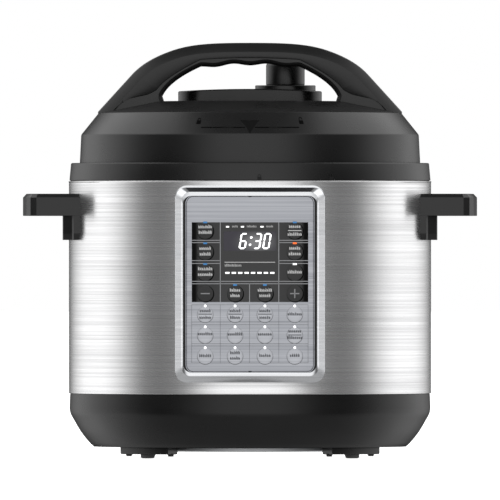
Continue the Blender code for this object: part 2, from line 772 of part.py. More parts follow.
def make_side_handle(name, side, frame, plastic):
    """A shelf with a hollow under it for the fingers, on a pad that follows the wall."""
    tip = side * (BODY_RADIUS + HANDLE_REACH)
    root = side * BODY_RADIUS * 0.80
    corner = HANDLE_CORNER
    half = HANDLE_HALF_WIDTH
    top = STEEL_TOP - HANDLE_DROP
    low = top - HANDLE_THICKNESS
    levels = [(low, 0.0), (top - HANDLE_EDGE, 0.0), (top, HANDLE_EDGE)]
    rings = []
    for level, inset in levels:
        edge = tip - side * inset
        end = half - inset
        rings.append([
            (root, -end, level),
            (edge - side * corner, -end, level),
            (edge - side * 0.3 * corner, -end + 0.3 * corner, level),
            (edge, -end + corner, level),
            (edge, end - corner, level),
            (edge - side * 0.3 * corner, end - 0.3 * corner, level),
            (edge - side * corner, end, level),
            (root, end, level),
        ])
    bm = bmesh.new()
    add_rings(bm, rings)
    handle = make(name, bm, plastic, frame)

    pad = side * (BODY_RADIUS + HANDLE_PAD_REACH)
    outline = [
        (root, -half + 0.001),
        (pad - side * 0.006, -half + 0.001),
        (pad, -half + 0.008),
        (pad, half - 0.008),
        (pad - side * 0.006, half - 0.001),
        (root, half - 0.001),
    ]
    added = bmesh.new()
    add_prism(added, outline, low - HANDLE_PAD_DROP, low + 0.004)
    join(handle, added)

    removed = bmesh.new()
    wall = side * (BODY_RADIUS + HANDLE_PAD_REACH + 0.0005)
    rim = tip - side * HANDLE_WALL
    ends = sorted((wall, rim))
    add_block(removed, (ends[0], -half + HANDLE_WALL, low - 0.001),
              (ends[1], half - HANDLE_WALL, top - HANDLE_WALL))
    add_cylinder(removed, BODY_RADIUS + FIT, low - HANDLE_PAD_DROP - 0.01, top + 0.01,
                 segments=SEGMENTS)
    cut(handle, removed)


def dome_height(radius):
    """Height of the inner lid's upper face."""
    share = radius / (SKIRT_OUTSIDE - 0.006)
    return DOME_LOW + 0.0065 + (DOME_HEIGHT - 0.0065) * (1 - share ** 2)


def make_lid_shell(lid, plastic, bright):
    draft = COVER_OUTSIDE - COVER_DRAFT
    bm = bmesh.new()
    add_turned(bm, [
        (0.0, DECK_TOP),
        (DECK_RADIUS, DECK_TOP),
        (SHOULDER_RADIUS, SHOULDER_TOP),
        (draft, SKIRT_TOP),
        (COVER_OUTSIDE, RIM_TOP),
        (COVER_OUTSIDE, COVER_LOW),
        (COVER_INSIDE, COVER_LOW),
        (COVER_INSIDE, DOME_LOW + 0.001),
        (draft - COVER_ROOF, SKIRT_TOP - 0.001),
        (SHOULDER_RADIUS - 0.001, SHOULDER_TOP - COVER_ROOF),
        (DECK_RADIUS, DECK_TOP - COVER_ROOF),
        (0.0, DECK_TOP - COVER_ROOF),
    ])
    cover = make("lid_cover", bm, plastic, lid)
    hole = bmesh.new()
    outline = rounded(
        -PLATFORM_HALF_LENGTH - FIT, PLATFORM_HALF_LENGTH + FIT,
        VALVE_Y - PLATFORM_HALF_WIDTH - FIT, VALVE_Y + PLATFORM_HALF_WIDTH + FIT,
        PLATFORM_CORNER + FIT,
    )
    add_prism(hole, outline, DECK_TOP - 0.02, DECK_TOP + 0.01)
    cut(cover, hole)

    ring = [SKIRT_OUTSIDE - 0.006, 0.80 * SKIRT_OUTSIDE, 0.45 * SKIRT_OUTSIDE]
    upper = [(radius, dome_height(radius)) for radius in ring]
    lower = [(radius, height - LID_SHEET) for radius, height in reversed(upper)]
    bm = bmesh.new()
    add_turned(bm, [
        (SKIRT_OUTSIDE, LID_LOW),
        (SKIRT_OUTSIDE, DOME_LOW),
        *upper,
        (0.0, dome_height(0.0)),
        (0.0, dome_height(0.0) - LID_SHEET),
        *lower,
        (SKIRT_INSIDE, DOME_LOW - LID_SHEET / 2),
        (SKIRT_INSIDE, LID_LOW),
    ])
    inner = make("inner_lid", bm, bright, lid)
    lugs = bmesh.new()
    for turn in lug_turns():
        add_sector(lugs, LID_LUG_TIP, SKIRT_INSIDE + LID_SHEET * 0.4, turn, LUG_ANGLE, LID_LOW,
                   LID_LUG_TOP)
    join(inner, lugs)
    holes = bmesh.new()
    low = dome_height(VALVE_RADIUS) - 0.01
    high = low + 0.02
    add_cylinder(holes, PIPE_RADIUS, low, high, (VALVE_X, VALVE_Y))
    add_cylinder(holes, FLOAT_STEM + 0.0006, low, high, (-VALVE_X, VALVE_Y))
    cut(inner, holes)


def grip_half(x):
    """Half width of the lid handle, which spreads towards its feet."""
    return GRIP_HALF_WIDTH + GRIP_FOOT_SPREAD * (x / SHOULDER_RADIUS) ** 2


def arch_line():
    """Outer line of the lid handle: straight legs, bent shoulders and a slightly crowned top."""
    end = SHOULDER_RADIUS + GRIP_OVERHANG
    leg = (LEG_TOP_INSET - end, GRIP_TOP - LEG_TOP_DROP)
    crown = (CROWN_INSET - end, GRIP_TOP - CROWN_DROP)
    bend = (SHOULDER_BEND[0] - end, GRIP_TOP - SHOULDER_BEND[1])
    half = [(-end, SHOULDER_TOP), leg, *curve(leg, bend, crown, 4)]
    for i in range(1, 5):
        x = crown[0] * (1 - i / 4)
        half.append((x, GRIP_TOP - CROWN_DROP * (x / crown[0]) ** 2))
    return mirrored(half)


def finger_line():
    """Edge of the finger opening: round sides up to a waved underside."""
    roof = GRIP_TOP - FINGER_ROOF
    wave_end = -1.45 * FINGER_PITCH

    def underside(x):
        wave = FINGER_WAVE * math.cos(2 * math.pi * x / FINGER_PITCH)
        return roof - wave - FINGER_SAG * x ** 2

    side_low = (-FINGER_HALF_WIDTH, DECK_TOP + 0.0038)
    start = (wave_end, underside(wave_end))
    bend = (-FINGER_HALF_WIDTH + 0.0052, roof - 0.0124)
    half = [(-FINGER_HALF_WIDTH + 0.0017, DECK_TOP - 0.004), side_low, *curve(side_low, bend, start, 5)]
    steps = 10
    for i in range(1, steps + 1):
        x = wave_end * (1 - i / steps)
        half.append((x, underside(x)))
    return mirrored(half)


def frame_line():
    """Line between the two halves of the handle, outside the finger opening."""
    roof = GRIP_TOP - FINGER_ROOF + GRIP_FRAME
    out = FINGER_HALF_WIDTH + GRIP_FRAME
    foot_end = -(SHOULDER_RADIUS - GRIP_FOOT_INSET)
    corner = (-out - 0.0048, DECK_TOP + 0.0053)
    side = (-out, DECK_TOP + 0.0100)
    half = [
        (foot_end, SHOULDER_TOP - 0.004),
        (foot_end, DECK_TOP + 0.0003),
        corner,
        side,
        *curve(side, (-out + 0.0052, roof - 0.0110), (-0.037, roof - 0.0010), 4),
        (-0.018, roof + 0.0002),
        (0.0, roof + 0.0006),
    ]
    return mirrored(half)


def add_handle_solid(bm, outer, inner, chamfer):
    """Skins the band between two lines through the handle's width, with a chamfer on the outer line."""
    inset = offset(outer, -chamfer) if chamfer else outer
    layers = [(inset, 0.0, -1), (outer, GRIP_CHAMFER_DEPTH, -1), (outer, GRIP_CHAMFER_DEPTH, 1),
              (inset, 0.0, 1)]
    if not chamfer:
        layers = [layers[0], layers[3]]
    rings = []
    for line, depth, side in layers:
        points = line + list(reversed(inner))
        rings.append([(x, side * (grip_half(x) - depth), z) for x, z in points])
    add_rings(bm, rings)


def add_lid_envelope(bm, gap):
    """Everything under the handle: the lid's outside, raised by a gap."""
    add_turned(bm, [
        (0.0, DECK_TOP + gap),
        (DECK_RADIUS, DECK_TOP + gap),
        (SHOULDER_RADIUS, SHOULDER_TOP + gap),
        (COVER_OUTSIDE + 0.01, SHOULDER_TOP - SHOULDER_HEIGHT + gap),
        (COVER_OUTSIDE + 0.01, RIM_TOP),
        (0.0, RIM_TOP),
    ])


def make_lid_handle(lid, plastic):
    parting = frame_line()
    upper = bmesh.new()
    add_handle_solid(upper, arch_line(), offset(parting, FIT), GRIP_CHAMFER)
    handle = make("lid_handle", upper, plastic, lid)
    removed = bmesh.new()
    add_lid_envelope(removed, FIT)
    cut(handle, removed)

    lower = bmesh.new()
    add_handle_solid(lower, parting, finger_line(), 0.0)
    grip = make("handle_grip", lower, plastic, lid)
    removed = bmesh.new()
    add_lid_envelope(removed, FIT)
    cut(grip, removed)


def make_valves(lid, plastic, metal, silicone):
    low = DECK_TOP - PLATFORM_SKIRT
    bm = bmesh.new()
    add_prism(bm, rounded(-PLATFORM_HALF_LENGTH, PLATFORM_HALF_LENGTH, VALVE_Y - PLATFORM_HALF_WIDTH,
                          VALVE_Y + PLATFORM_HALF_WIDTH, PLATFORM_CORNER), low, PLATFORM_TOP)
    platform = make("valve_platform", bm, plastic, lid)
    wall = PLATFORM_WALL
    removed = bmesh.new()
    add_prism(removed, rounded(
        -PLATFORM_HALF_LENGTH + wall, PLATFORM_HALF_LENGTH - wall,
        VALVE_Y - PLATFORM_HALF_WIDTH + wall, VALVE_Y + PLATFORM_HALF_WIDTH - wall,
        PLATFORM_CORNER - wall), low - 0.01, PLATFORM_TOP - wall)
    cut(platform, removed)
    holes = bmesh.new()
    add_cylinder(holes, SEAT_COLLAR + FIT, PLATFORM_TOP - 0.005, PLATFORM_TOP + 0.005, (VALVE_X, VALVE_Y))
    add_cylinder(holes, FLOAT_RADIUS + 0.0008, PLATFORM_TOP - 0.005, PLATFORM_TOP + 0.005,
                 (-VALVE_X, VALVE_Y))
    cut(platform, holes)

    steam = (VALVE_X, VALVE_Y)
    bore = PIPE_RADIUS + FIT
    bm = bmesh.new()
    add_turned(bm, [
        (bore, SEAT_TOP),
        (SEAT_RADIUS - 0.0008, SEAT_TOP),
        (SEAT_RADIUS, SEAT_TOP - 0.0008),
        (SEAT_RADIUS, SEAT_LOW),
        (SEAT_COLLAR, SEAT_LOW),
        (SEAT_COLLAR, PLATFORM_TOP - PLATFORM_WALL - 0.004),
        (bore, PLATFORM_TOP - PLATFORM_WALL - 0.004),
    ], steam, 24)
    make("steam_valve_seat", bm, plastic, lid)

    flange = dome_height(VALVE_RADIUS - PIPE_FLANGE) + FIT
    nut_top = dome_height(VALVE_RADIUS + NUT_RADIUS) - LID_SHEET - FIT
    nut_low = nut_top - NUT_HEIGHT
    bm = bmesh.new()
    add_turned(bm, [
        (PIPE_BORE, PIPE_TIP),
        (PIPE_BORE + 0.0007, PIPE_TIP),
        (PIPE_RADIUS, PIPE_TIP - 0.003),
        (PIPE_RADIUS, flange + 0.0025),
        (PIPE_FLANGE, flange + 0.0025),
        (PIPE_FLANGE, flange),
        (PIPE_RADIUS - FIT, flange),
        (PIPE_RADIUS - FIT, nut_low - 0.001),
        (PIPE_BORE, nut_low - 0.001),
    ], steam, SMALL_SEGMENTS)
    make("exhaust_pipe", bm, metal, lid)

    bm = bmesh.new()
    hexagon = [(VALVE_X + NUT_RADIUS * math.cos(math.radians(60 * i)),
                VALVE_Y + NUT_RADIUS * math.sin(math.radians(60 * i))) for i in range(6)]
    add_prism(bm, hexagon, nut_low, nut_top)
    nut = make("lid_nut", bm, metal, lid)
    bore_cut = bmesh.new()
    add_cylinder(bore_cut, PIPE_RADIUS + FIT, nut_low - 0.002, nut_top + 0.002, steam)
    cut(nut, bore_cut)

    shield_top = dome_height(VALVE_RADIUS + SHIELD_RADIUS) - LID_SHEET - FIT
    shield_low = shield_top - SHIELD_HEIGHT
    inside = SHIELD_RADIUS - SHIELD_SHEET
    bm = bmesh.new()
    add_turned(bm, [
        (0.0, shield_low),
        (SHIELD_RADIUS - 0.003, shield_low),
        (SHIELD_RADIUS, shield_low + 0.003),
        (SHIELD_RADIUS, shield_top),
        (inside, shield_top),
        (inside, shield_low + 0.003),
        (SHIELD_RADIUS - 0.0033, shield_low + SHIELD_SHEET),
        (0.0, shield_low + SHIELD_SHEET),
    ], steam, 24)
    shield = make("anti_block_shield", bm, metal, lid)
    slots = bmesh.new()
    for k in range(6):
        turn = math.radians(60 * k + 7.5)
        across = (-math.sin(turn) * 0.0015, math.cos(turn) * 0.0015)
        start = (VALVE_X + 0.008 * math.cos(turn), VALVE_Y + 0.008 * math.sin(turn))
        end = (VALVE_X + 0.020 * math.cos(turn), VALVE_Y + 0.020 * math.sin(turn))
        outline = [
            (start[0] - across[0], start[1] - across[1]),
            (end[0] - across[0], end[1] - across[1]),
            (end[0] + across[0], end[1] + across[1]),
            (start[0] + across[0], start[1] + across[1]),
        ]
        add_prism(slots, outline, shield_low + 0.0045, shield_top - 0.0035)
    cut(shield, slots)

    knob_axis = empty("steam_valve_axis", (VALVE_X, VALVE_Y, 0.0), lid)
    knob_top = KNOB_LOW + KNOB_HEIGHT
    rim_inside = KNOB_RADIUS - KNOB_WALL
    roof = PIPE_TIP + WEIGHT_HEIGHT + 2 * FIT
    bm = bmesh.new()
    add_turned(bm, [
        (0.0, knob_top - 0.006),
        (KNOB_RADIUS - 0.003, knob_top - 0.006),
        (KNOB_RADIUS, knob_top - 0.009),
        (KNOB_RADIUS, KNOB_LOW),
        (rim_inside, KNOB_LOW),
        (rim_inside, roof - 0.004),
        (WEIGHT_RADIUS + FIT, roof - 0.004),
        (WEIGHT_RADIUS + FIT, roof),
        (0.0, roof),
    ], segments=24)
    knob = make("steam_release_knob", bm, plastic, knob_axis)
    fin = bmesh.new()
    add_prism(fin, rounded(-KNOB_RADIUS + 0.002, KNOB_RADIUS - 0.002, -0.0035, 0.0035, 0.003),
              knob_top - 0.0075, knob_top)
    join(knob, fin)

    bm = bmesh.new()
    add_turned(bm, [
        (0.0, PIPE_TIP + WEIGHT_HEIGHT + FIT),
        (WEIGHT_RADIUS, PIPE_TIP + WEIGHT_HEIGHT + FIT),
        (WEIGHT_RADIUS, PIPE_TIP - 0.003),
        (PIPE_RADIUS + 2 * FIT, PIPE_TIP - 0.003),
        (PIPE_RADIUS + 2 * FIT, PIPE_TIP + FIT),
        (0.0, PIPE_TIP + FIT),
    ], segments=SMALL_SEGMENTS)
    make("valve_weight", bm, metal, knob_axis)

    float_axis = empty("float_axis", (-VALVE_X, VALVE_Y, 0.0), lid)
    collar = dome_height(VALVE_RADIUS - FLOAT_RADIUS - 0.001) + FIT
    cap_top = dome_height(VALVE_RADIUS + 0.006) - LID_SHEET - FIT - FLOAT_TRAVEL
    cap_low = cap_top - 0.0055
    bm = bmesh.new()
    add_turned(bm, [
        (0.0, PLATFORM_TOP - FLOAT_TRAVEL),
        (FLOAT_RADIUS - 0.0005, PLATFORM_TOP - FLOAT_TRAVEL),
        (FLOAT_RADIUS, PLATFORM_TOP - FLOAT_TRAVEL - 0.0005),
        (FLOAT_RADIUS, collar + 0.002),
        (FLOAT_RADIUS + 0.001, collar + 0.002),
        (FLOAT_RADIUS + 0.001, collar),
        (FLOAT_STEM, collar),
        (FLOAT_STEM, cap_top + FIT),
        (FLOAT_STEM - 0.001, cap_top + FIT),
        (FLOAT_STEM - 0.001, cap_low),
        (0.0, cap_low),
    ], segments=SMALL_SEGMENTS)
    make("float_valve", bm, metal, float_axis)
    bm = bmesh.new()
    add_turned(bm, [
        (FLOAT_STEM - 0.001 + FIT, cap_top),
        (0.0055, cap_top),
        (0.0045, cap_low + 0.001),
        (FLOAT_STEM - 0.001 + FIT, cap_low + 0.001),
    ], segments=SMALL_SEGMENTS)
    make("float_valve_cap", bm, silicone, float_axis)


def make_seal(seal, lid, silicone, metal):
    inside = POT_RADIUS - RING_INSIDE
    outside = POT_RADIUS + RING_OUTSIDE
    low = POT_RIM + 0.0005
    high = low + RING_HEIGHT
    bm = bmesh.new()
    add_turned(bm, [
        (inside, high),
        (outside, high),
        (outside, low),
        (inside, low),
        (inside, low + 0.0022),
        (outside - 0.003, low + 0.0022),
        (outside - 0.003, high - 0.0020),
        (inside, high - 0.0020),
    ])
    make("sealing_ring", bm, silicone, seal)

    rack_outside = inside - 0.0004
    rack_inside = rack_outside - RACK_WIDTH
    rack_low = low + 0.0025
    bm = bmesh.new()
    add_turned(bm, [
        (rack_inside, rack_low + RACK_HEIGHT),
        (rack_outside, rack_low + RACK_HEIGHT),
        (rack_outside, rack_low),
        (rack_inside, rack_low),
    ])
    rack = make("sealing_ring_rack", bm, metal, lid)
    middle = (rack_inside + rack_outside) / 2
    posts = bmesh.new()
    post_top = dome_height(middle + 0.001) - LID_SHEET - 2 * FIT
    for k in range(6):
        turn = math.radians(60 * k)
        centre = (middle * math.cos(turn), middle * math.sin(turn))
        add_cylinder(posts, 0.0011, rack_low + RACK_HEIGHT / 2, post_top, centre, 8)
    join(rack, posts)


def make_collector(frame, plastic, clear_plastic):
    top = COLLECTOR_TOP - FIT
    half = BRACKET_HALF_WIDTH
    front = BODY_RADIUS * 0.9
    bm = bmesh.new()
    add_block(bm, (-half, front, COLLECTOR_TOP - BRACKET_HEIGHT), (half, BRACKET_BACK, COLLECTOR_TOP + 0.003))
    bracket = make("collector_bracket", bm, plastic, frame)
    chute_back = COLLECTOR_FRONT + 0.0105
    chute = bmesh.new()
    add_block(chute, (-CHUTE_HALF_WIDTH, front, COLLECTOR_TOP), (CHUTE_HALF_WIDTH, chute_back, RIM_LOW + 0.004))
    join(bracket, chute)
    inner = CHUTE_HALF_WIDTH - CHUTE_WALL
    removed = bmesh.new()
    add_turned(removed, [
        (0.0, COLLECTOR_TOP + 0.02),
        (BODY_RADIUS + FIT, COLLECTOR_TOP + 0.02),
        (BODY_RADIUS + FIT, COLLECTOR_TOP - BRACKET_HEIGHT - 0.01),
        (0.0, COLLECTOR_TOP - BRACKET_HEIGHT - 0.01),
    ])
    cut(bracket, removed)
    channel = bmesh.new()
    add_block(channel, (-inner, front, COLLECTOR_TOP + CHUTE_WALL),
              (inner, chute_back - CHUTE_WALL, RIM_LOW + 0.006))
    cut(bracket, channel)
    drain = bmesh.new()
    add_block(drain, (-inner + 0.001, COLLECTOR_FRONT + 0.0025, COLLECTOR_TOP - 0.002),
              (inner - 0.001, chute_back - CHUTE_WALL - 0.0005, COLLECTOR_TOP + CHUTE_WALL + 0.002))
    cut(bracket, drain)

    wide = COLLECTOR_HALF_WIDTH
    low = top - COLLECTOR_HEIGHT
    wall = COLLECTOR_WALL
    corner = 0.006
    outline = [
        (-wide, COLLECTOR_FRONT),
        (wide, COLLECTOR_FRONT),
        (wide, COLLECTOR_BACK - corner),
        (wide - 0.3 * corner, COLLECTOR_BACK - 0.3 * corner),
        (wide - corner, COLLECTOR_BACK),
        (corner - wide, COLLECTOR_BACK),
        (0.3 * corner - wide, COLLECTOR_BACK - 0.3 * corner),
        (-wide, COLLECTOR_BACK - corner),
    ]
    collector_axis = empty("collector_axis", (0.0, COLLECTOR_FRONT, 0.0), frame)
    outline = [(x, y - COLLECTOR_FRONT) for x, y in outline]
    depth = COLLECTOR_DEPTH
    bm = bmesh.new()
    add_prism(bm, outline, low, top)
    cup = make("condensation_collector", bm, clear_plastic, collector_axis)
    hollow = bmesh.new()
    half = wide - wall
    add_prism(hollow, [
        (-half, wall),
        (half, wall),
        (half, depth - corner),
        (half - 0.3 * corner, depth - wall - 0.25 * corner),
        (half - corner + wall, depth - wall),
        (corner - wall - half, depth - wall),
        (0.3 * corner - half, depth - wall - 0.25 * corner),
        (-half, depth - corner),
    ], low + wall, top + 0.01)
    cut(cup, hollow)


def build():
    clear_scene()
    black = finish("black_plastic", (0.018, 0.018, 0.020), 0.42)
    steel = finish("brushed_steel", (0.60, 0.60, 0.61), 0.32, 1.0)
    bright = finish("bright_steel", (0.70, 0.70, 0.70), 0.22, 1.0)
    zinc = finish("galvanised_steel", (0.42, 0.43, 0.44), 0.50, 1.0)
    cast = finish("cast_aluminium", (0.55, 0.55, 0.56), 0.45, 1.0)
    spring_steel = finish("spring_steel", (0.35, 0.35, 0.36), 0.35, 1.0)
    chrome = finish("satin_chrome", (0.66, 0.67, 0.69), 0.22, 0.9)
    panel_coat = finish("silver_panel", (0.40, 0.41, 0.44), 0.38, 0.6)
    glass = finish("dark_window", (0.006, 0.006, 0.008), 0.10)
    board = finish("circuit_board", (0.03, 0.16, 0.07), 0.50)
    dark_key = finish("dark_key", (0.020, 0.020, 0.024), 0.35)
    silver_key = finish("silver_key", (0.42, 0.43, 0.46), 0.38, 0.6)
    rubber = finish("grey_rubber", (0.10, 0.10, 0.10), 0.85)
    silicone = finish("clear_silicone", (0.72, 0.72, 0.70), 0.45)
    clear_plastic = finish("smoked_plastic", (0.30, 0.30, 0.31), 0.15)

    frame = empty("cooker_axis", (0.0, AXIS_Y, 0.0))
    pot_frame = empty("pot_axis", (0.0, 0.0, 0.0), frame)
    seal = empty("seal_axis", (0.0, 0.0, 0.0), frame)
    lid = empty("lid_axis", (0.0, 0.0, 0.0), seal)

    make_base(frame, black, rubber, zinc)
    make_inlet(frame, black)
    make_walls(frame, steel, black)
    make_locking_pot(frame, cast)
    make_inner_pot(pot_frame, bright)
    make_heater(frame, cast, bright, spring_steel)
    make_power_board(frame, board)
    make_keypad(frame, chrome, panel_coat, glass, board, dark_key, silver_key)
    make_side_handle("side_handle_left", -1, frame, black)
    make_side_handle("side_handle_right", 1, frame, black)
    make_collector(frame, black, clear_plastic)
    make_lid_shell(lid, black, bright)
    make_lid_handle(lid, black)
    make_valves(lid, black, bright, silicone)
    make_seal(seal, lid, silicone, bright)
    bpy.context.view_layer.update()


build()
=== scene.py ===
import math

import bmesh
import bpy
import numpy as np
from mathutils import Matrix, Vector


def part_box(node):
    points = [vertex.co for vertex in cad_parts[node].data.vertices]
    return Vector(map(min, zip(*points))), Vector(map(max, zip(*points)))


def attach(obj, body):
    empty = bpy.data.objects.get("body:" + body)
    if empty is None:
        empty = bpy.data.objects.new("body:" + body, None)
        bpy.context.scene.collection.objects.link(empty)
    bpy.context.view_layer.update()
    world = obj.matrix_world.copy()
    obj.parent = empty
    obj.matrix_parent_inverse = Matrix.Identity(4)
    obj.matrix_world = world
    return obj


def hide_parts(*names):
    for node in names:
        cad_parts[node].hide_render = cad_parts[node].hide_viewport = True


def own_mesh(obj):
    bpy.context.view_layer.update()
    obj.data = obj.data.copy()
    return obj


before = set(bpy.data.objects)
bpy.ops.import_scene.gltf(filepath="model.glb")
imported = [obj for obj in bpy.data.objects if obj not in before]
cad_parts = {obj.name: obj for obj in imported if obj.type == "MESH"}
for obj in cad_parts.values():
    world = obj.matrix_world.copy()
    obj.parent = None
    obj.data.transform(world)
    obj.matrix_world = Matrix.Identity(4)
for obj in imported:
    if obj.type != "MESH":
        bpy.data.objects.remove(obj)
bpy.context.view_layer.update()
print("frame loaded:", len(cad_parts), "nodes")

mm = 0.001
tau = 2 * math.pi


# places that every piece starts from, read off the frame
def spanOf(node):  # lowest and highest corner as arrays
    low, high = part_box(node)
    return np.array(low), np.array(high)


rimLow, rimHigh = spanOf("rim_ring")
steelLow, steelHigh = spanOf("outer_housing")
coverLow, coverHigh = spanOf("lid_cover")
axisY = (rimLow[1] + rimHigh[1]) / 2
bodyRadius = (steelHigh[0] - steelLow[0]) / 2
deckTop = coverHigh[2]


def meshPiece(name, points, faces, coat, smoothAngle=38):
    # points is (n, 3); faces is a list of index arrays, each (m, k)
    points = np.asarray(points, float).reshape(-1, 3)
    mesh = bpy.data.meshes.new(name)
    every = [face for block in faces for face in np.asarray(block).tolist()]
    mesh.from_pydata(points.tolist(), [], every)
    work = bmesh.new()
    work.from_mesh(mesh)
    bmesh.ops.remove_doubles(work, verts=work.verts, dist=2e-6)
    bmesh.ops.dissolve_degenerate(work, dist=1e-7, edges=work.edges)
    bmesh.ops.recalc_face_normals(work, faces=work.faces)
    work.to_mesh(mesh)
    work.free()
    mesh.materials.append(coat)
    mesh.shade_smooth()
    mesh.set_sharp_from_angle(angle=math.radians(smoothAngle))
    piece = bpy.data.objects.new(name, mesh)
    bpy.context.scene.collection.objects.link(piece)
    return piece


def gridFaces(rows, columns, wrapRows=False, wrapColumns=True, start=0):
    # quads between neighbouring rows and columns of a grid of points
    r = np.arange(rows if wrapRows else rows - 1)
    c = np.arange(columns if wrapColumns else columns - 1)
    r, c = np.meshgrid(r, c, indexing="ij")
    r2 = (r + 1) % rows
    c2 = (c + 1) % columns
    quads = np.stack([r * columns + c, r * columns + c2, r2 * columns + c2, r2 * columns + c], -1)
    return quads.reshape(-1, 4) + start


def softCorners(points, radii, steps=5):
    # each inner corner becomes a quadratic curve that starts and ends a radius away from it
    points = np.asarray(points, float)
    out = [points[:1]]
    for before, corner, after, radius in zip(points[:-2], points[1:-1], points[2:], radii):
        back = before - corner
        on = after - corner
        reachBack = min(radius, 0.49 * np.linalg.norm(back))
        reachOn = min(radius, 0.49 * np.linalg.norm(on))
        if radius <= 0:
            out.append(corner[None])
            continue
        a = corner + back / np.linalg.norm(back) * reachBack
        b = corner + on / np.linalg.norm(on) * reachOn
        t = np.linspace(0, 1, steps)[:, None]
        out.append((1 - t) ** 2 * a + 2 * t * (1 - t) * corner + t ** 2 * b)
    out.append(points[-1:])
    return np.concatenate(out)


def bend(start, middle, end, steps):
    # quadratic curve through start and end, drawn towards middle
    t = np.linspace(0, 1, steps)[:, None]
    start, middle, end = (np.asarray(p, float) for p in (start, middle, end))
    return (1 - t) ** 2 * start + 2 * t * (1 - t) * middle + t ** 2 * end


def resample(line, count):
    # the same line with points at equal arc length
    line = np.asarray(line, float)
    run = np.concatenate([[0], np.cumsum(np.linalg.norm(np.diff(line, axis=0), axis=1))])
    at = np.linspace(0, run[-1], count)
    return np.stack([np.interp(at, run, line[:, k]) for k in range(line.shape[1])], -1)


def turned(name, profile, coat, centre=None, count=168, closed=False, smoothAngle=38):
    # point = (cx + r cos t, cy + r sin t, z) for each (r, z) of the profile and each turn t
    centre = (0.0, axisY) if centre is None else centre
    profile = np.asarray(profile, float)
    t = np.arange(count) * tau / count
    r = profile[:, 0][:, None]
    points = np.stack([
        centre[0] + r * np.cos(t),
        centre[1] + r * np.sin(t),
        np.repeat(profile[:, 1][:, None], count, 1),
    ], -1)
    return meshPiece(name, points, [gridFaces(len(profile), count, wrapRows=closed)], coat, smoothAngle)


def lofted(name, loops, coat, capped=True, ring=False, smoothAngle=38):
    # skins loops of points, (k, n, 3); the ends are capped with one face each
    loops = np.asarray(loops, float)
    k, n = loops.shape[:2]
    faces = [gridFaces(k, n, wrapRows=ring)]
    if capped and not ring:
        faces += [np.arange(n)[None, ::-1], (np.arange(n) + (k - 1) * n)[None]]
    return meshPiece(name, loops, faces, coat, smoothAngle)


def inset(outline, distance):
    # moves each point of a closed counterclockwise outline inwards along its own normal
    before = np.roll(outline, 1, 0)
    after = np.roll(outline, -1, 0)
    a = outline - before
    b = after - outline
    a = a / np.maximum(np.linalg.norm(a, axis=1, keepdims=True), 1e-9)
    b = b / np.maximum(np.linalg.norm(b, axis=1, keepdims=True), 1e-9)
    normalA = np.stack([-a[:, 1], a[:, 0]], -1)
    normalB = np.stack([-b[:, 1], b[:, 0]], -1)
    both = normalA + normalB
    both = both / np.maximum(np.linalg.norm(both, axis=1, keepdims=True), 1e-9)
    share = np.maximum((both * normalA).sum(1, keepdims=True), 0.5)
    return outline + both / share * distance


def roundedBox(lowA, highA, lowB, highB, radius, steps=10):
    # counterclockwise rectangle with quarter circles at its corners
    turn = np.linspace(0, math.pi / 2, steps)
    parts = []
    left, right, lower, upper = lowA + radius, highA - radius, lowB + radius, highB - radius
    for a, b, first in ((left, lower, math.pi), (right, lower, 1.5 * math.pi),
                        (right, upper, 0), (left, upper, 0.5 * math.pi)):
        parts.append(np.stack([a + radius * np.cos(first + turn), b + radius * np.sin(first + turn)], -1))
    return np.concatenate(parts)


def placed(flat, level, along):
    # puts a flat outline on a level across X, Y or Z
    level = np.broadcast_to(level, flat.shape[:1])
    if along == "Z":
        return np.stack([flat[:, 0], flat[:, 1], level], -1)
    if along == "Y":
        return np.stack([flat[:, 0], level, flat[:, 1]], -1)
    return np.stack([level, flat[:, 0], flat[:, 1]], -1)


def slab(name, outline, low, high, edge, coat, along="Z", steps=4):
    # an outline between two levels; both rims are rounded by quarter circles of radius edge
    turn = np.linspace(0, math.pi / 2, steps)
    levels = [(edge * (1 - math.sin(a)), low + edge * (1 - math.cos(a))) for a in turn]
    levels += [(edge * (1 - math.sin(a)), high - edge * (1 - math.cos(a))) for a in turn[::-1]]
    loops = [placed(inset(outline, step), level, along) for step, level in levels]
    return lofted(name, loops, coat)


def joined(name, pieces):
    # one object from several, keeping each one's materials
    bpy.context.view_layer.update()
    bpy.ops.object.select_all(action="DESELECT")
    for piece in pieces:
        piece.select_set(True)
    bpy.context.view_layer.objects.active = pieces[0]
    bpy.ops.object.join()
    pieces[0].name = name
    pieces[0].data.name = name
    return pieces[0]


def softened(node, width, coat, segments=3, angle=32):
    # a merged copy of a frame part whose edges are bevelled
    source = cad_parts[node]
    mesh = source.data.copy()
    work = bmesh.new()
    work.from_mesh(mesh)
    bmesh.ops.remove_doubles(work, verts=work.verts, dist=5e-6)
    bmesh.ops.dissolve_limit(work, angle_limit=math.radians(1.5), verts=work.verts, edges=work.edges)
    work.to_mesh(mesh)
    work.free()
    mesh.materials.clear()
    mesh.materials.append(coat)
    piece = bpy.data.objects.new("soft_" + node, mesh)
    bpy.context.scene.collection.objects.link(piece)
    bevel = piece.modifiers.new("edges", "BEVEL")
    bevel.width = width
    bevel.segments = segments
    bevel.limit_method = "ANGLE"
    bevel.angle_limit = math.radians(angle)
    bevel.use_clamp_overlap = True
    bpy.context.view_layer.update()
    graph = bpy.context.evaluated_depsgraph_get()
    done = bpy.data.meshes.new_from_object(piece.evaluated_get(graph))
    piece.modifiers.clear()
    piece.data = done
    done.shade_smooth()
    done.set_sharp_from_angle(angle=math.radians(36))
    return piece


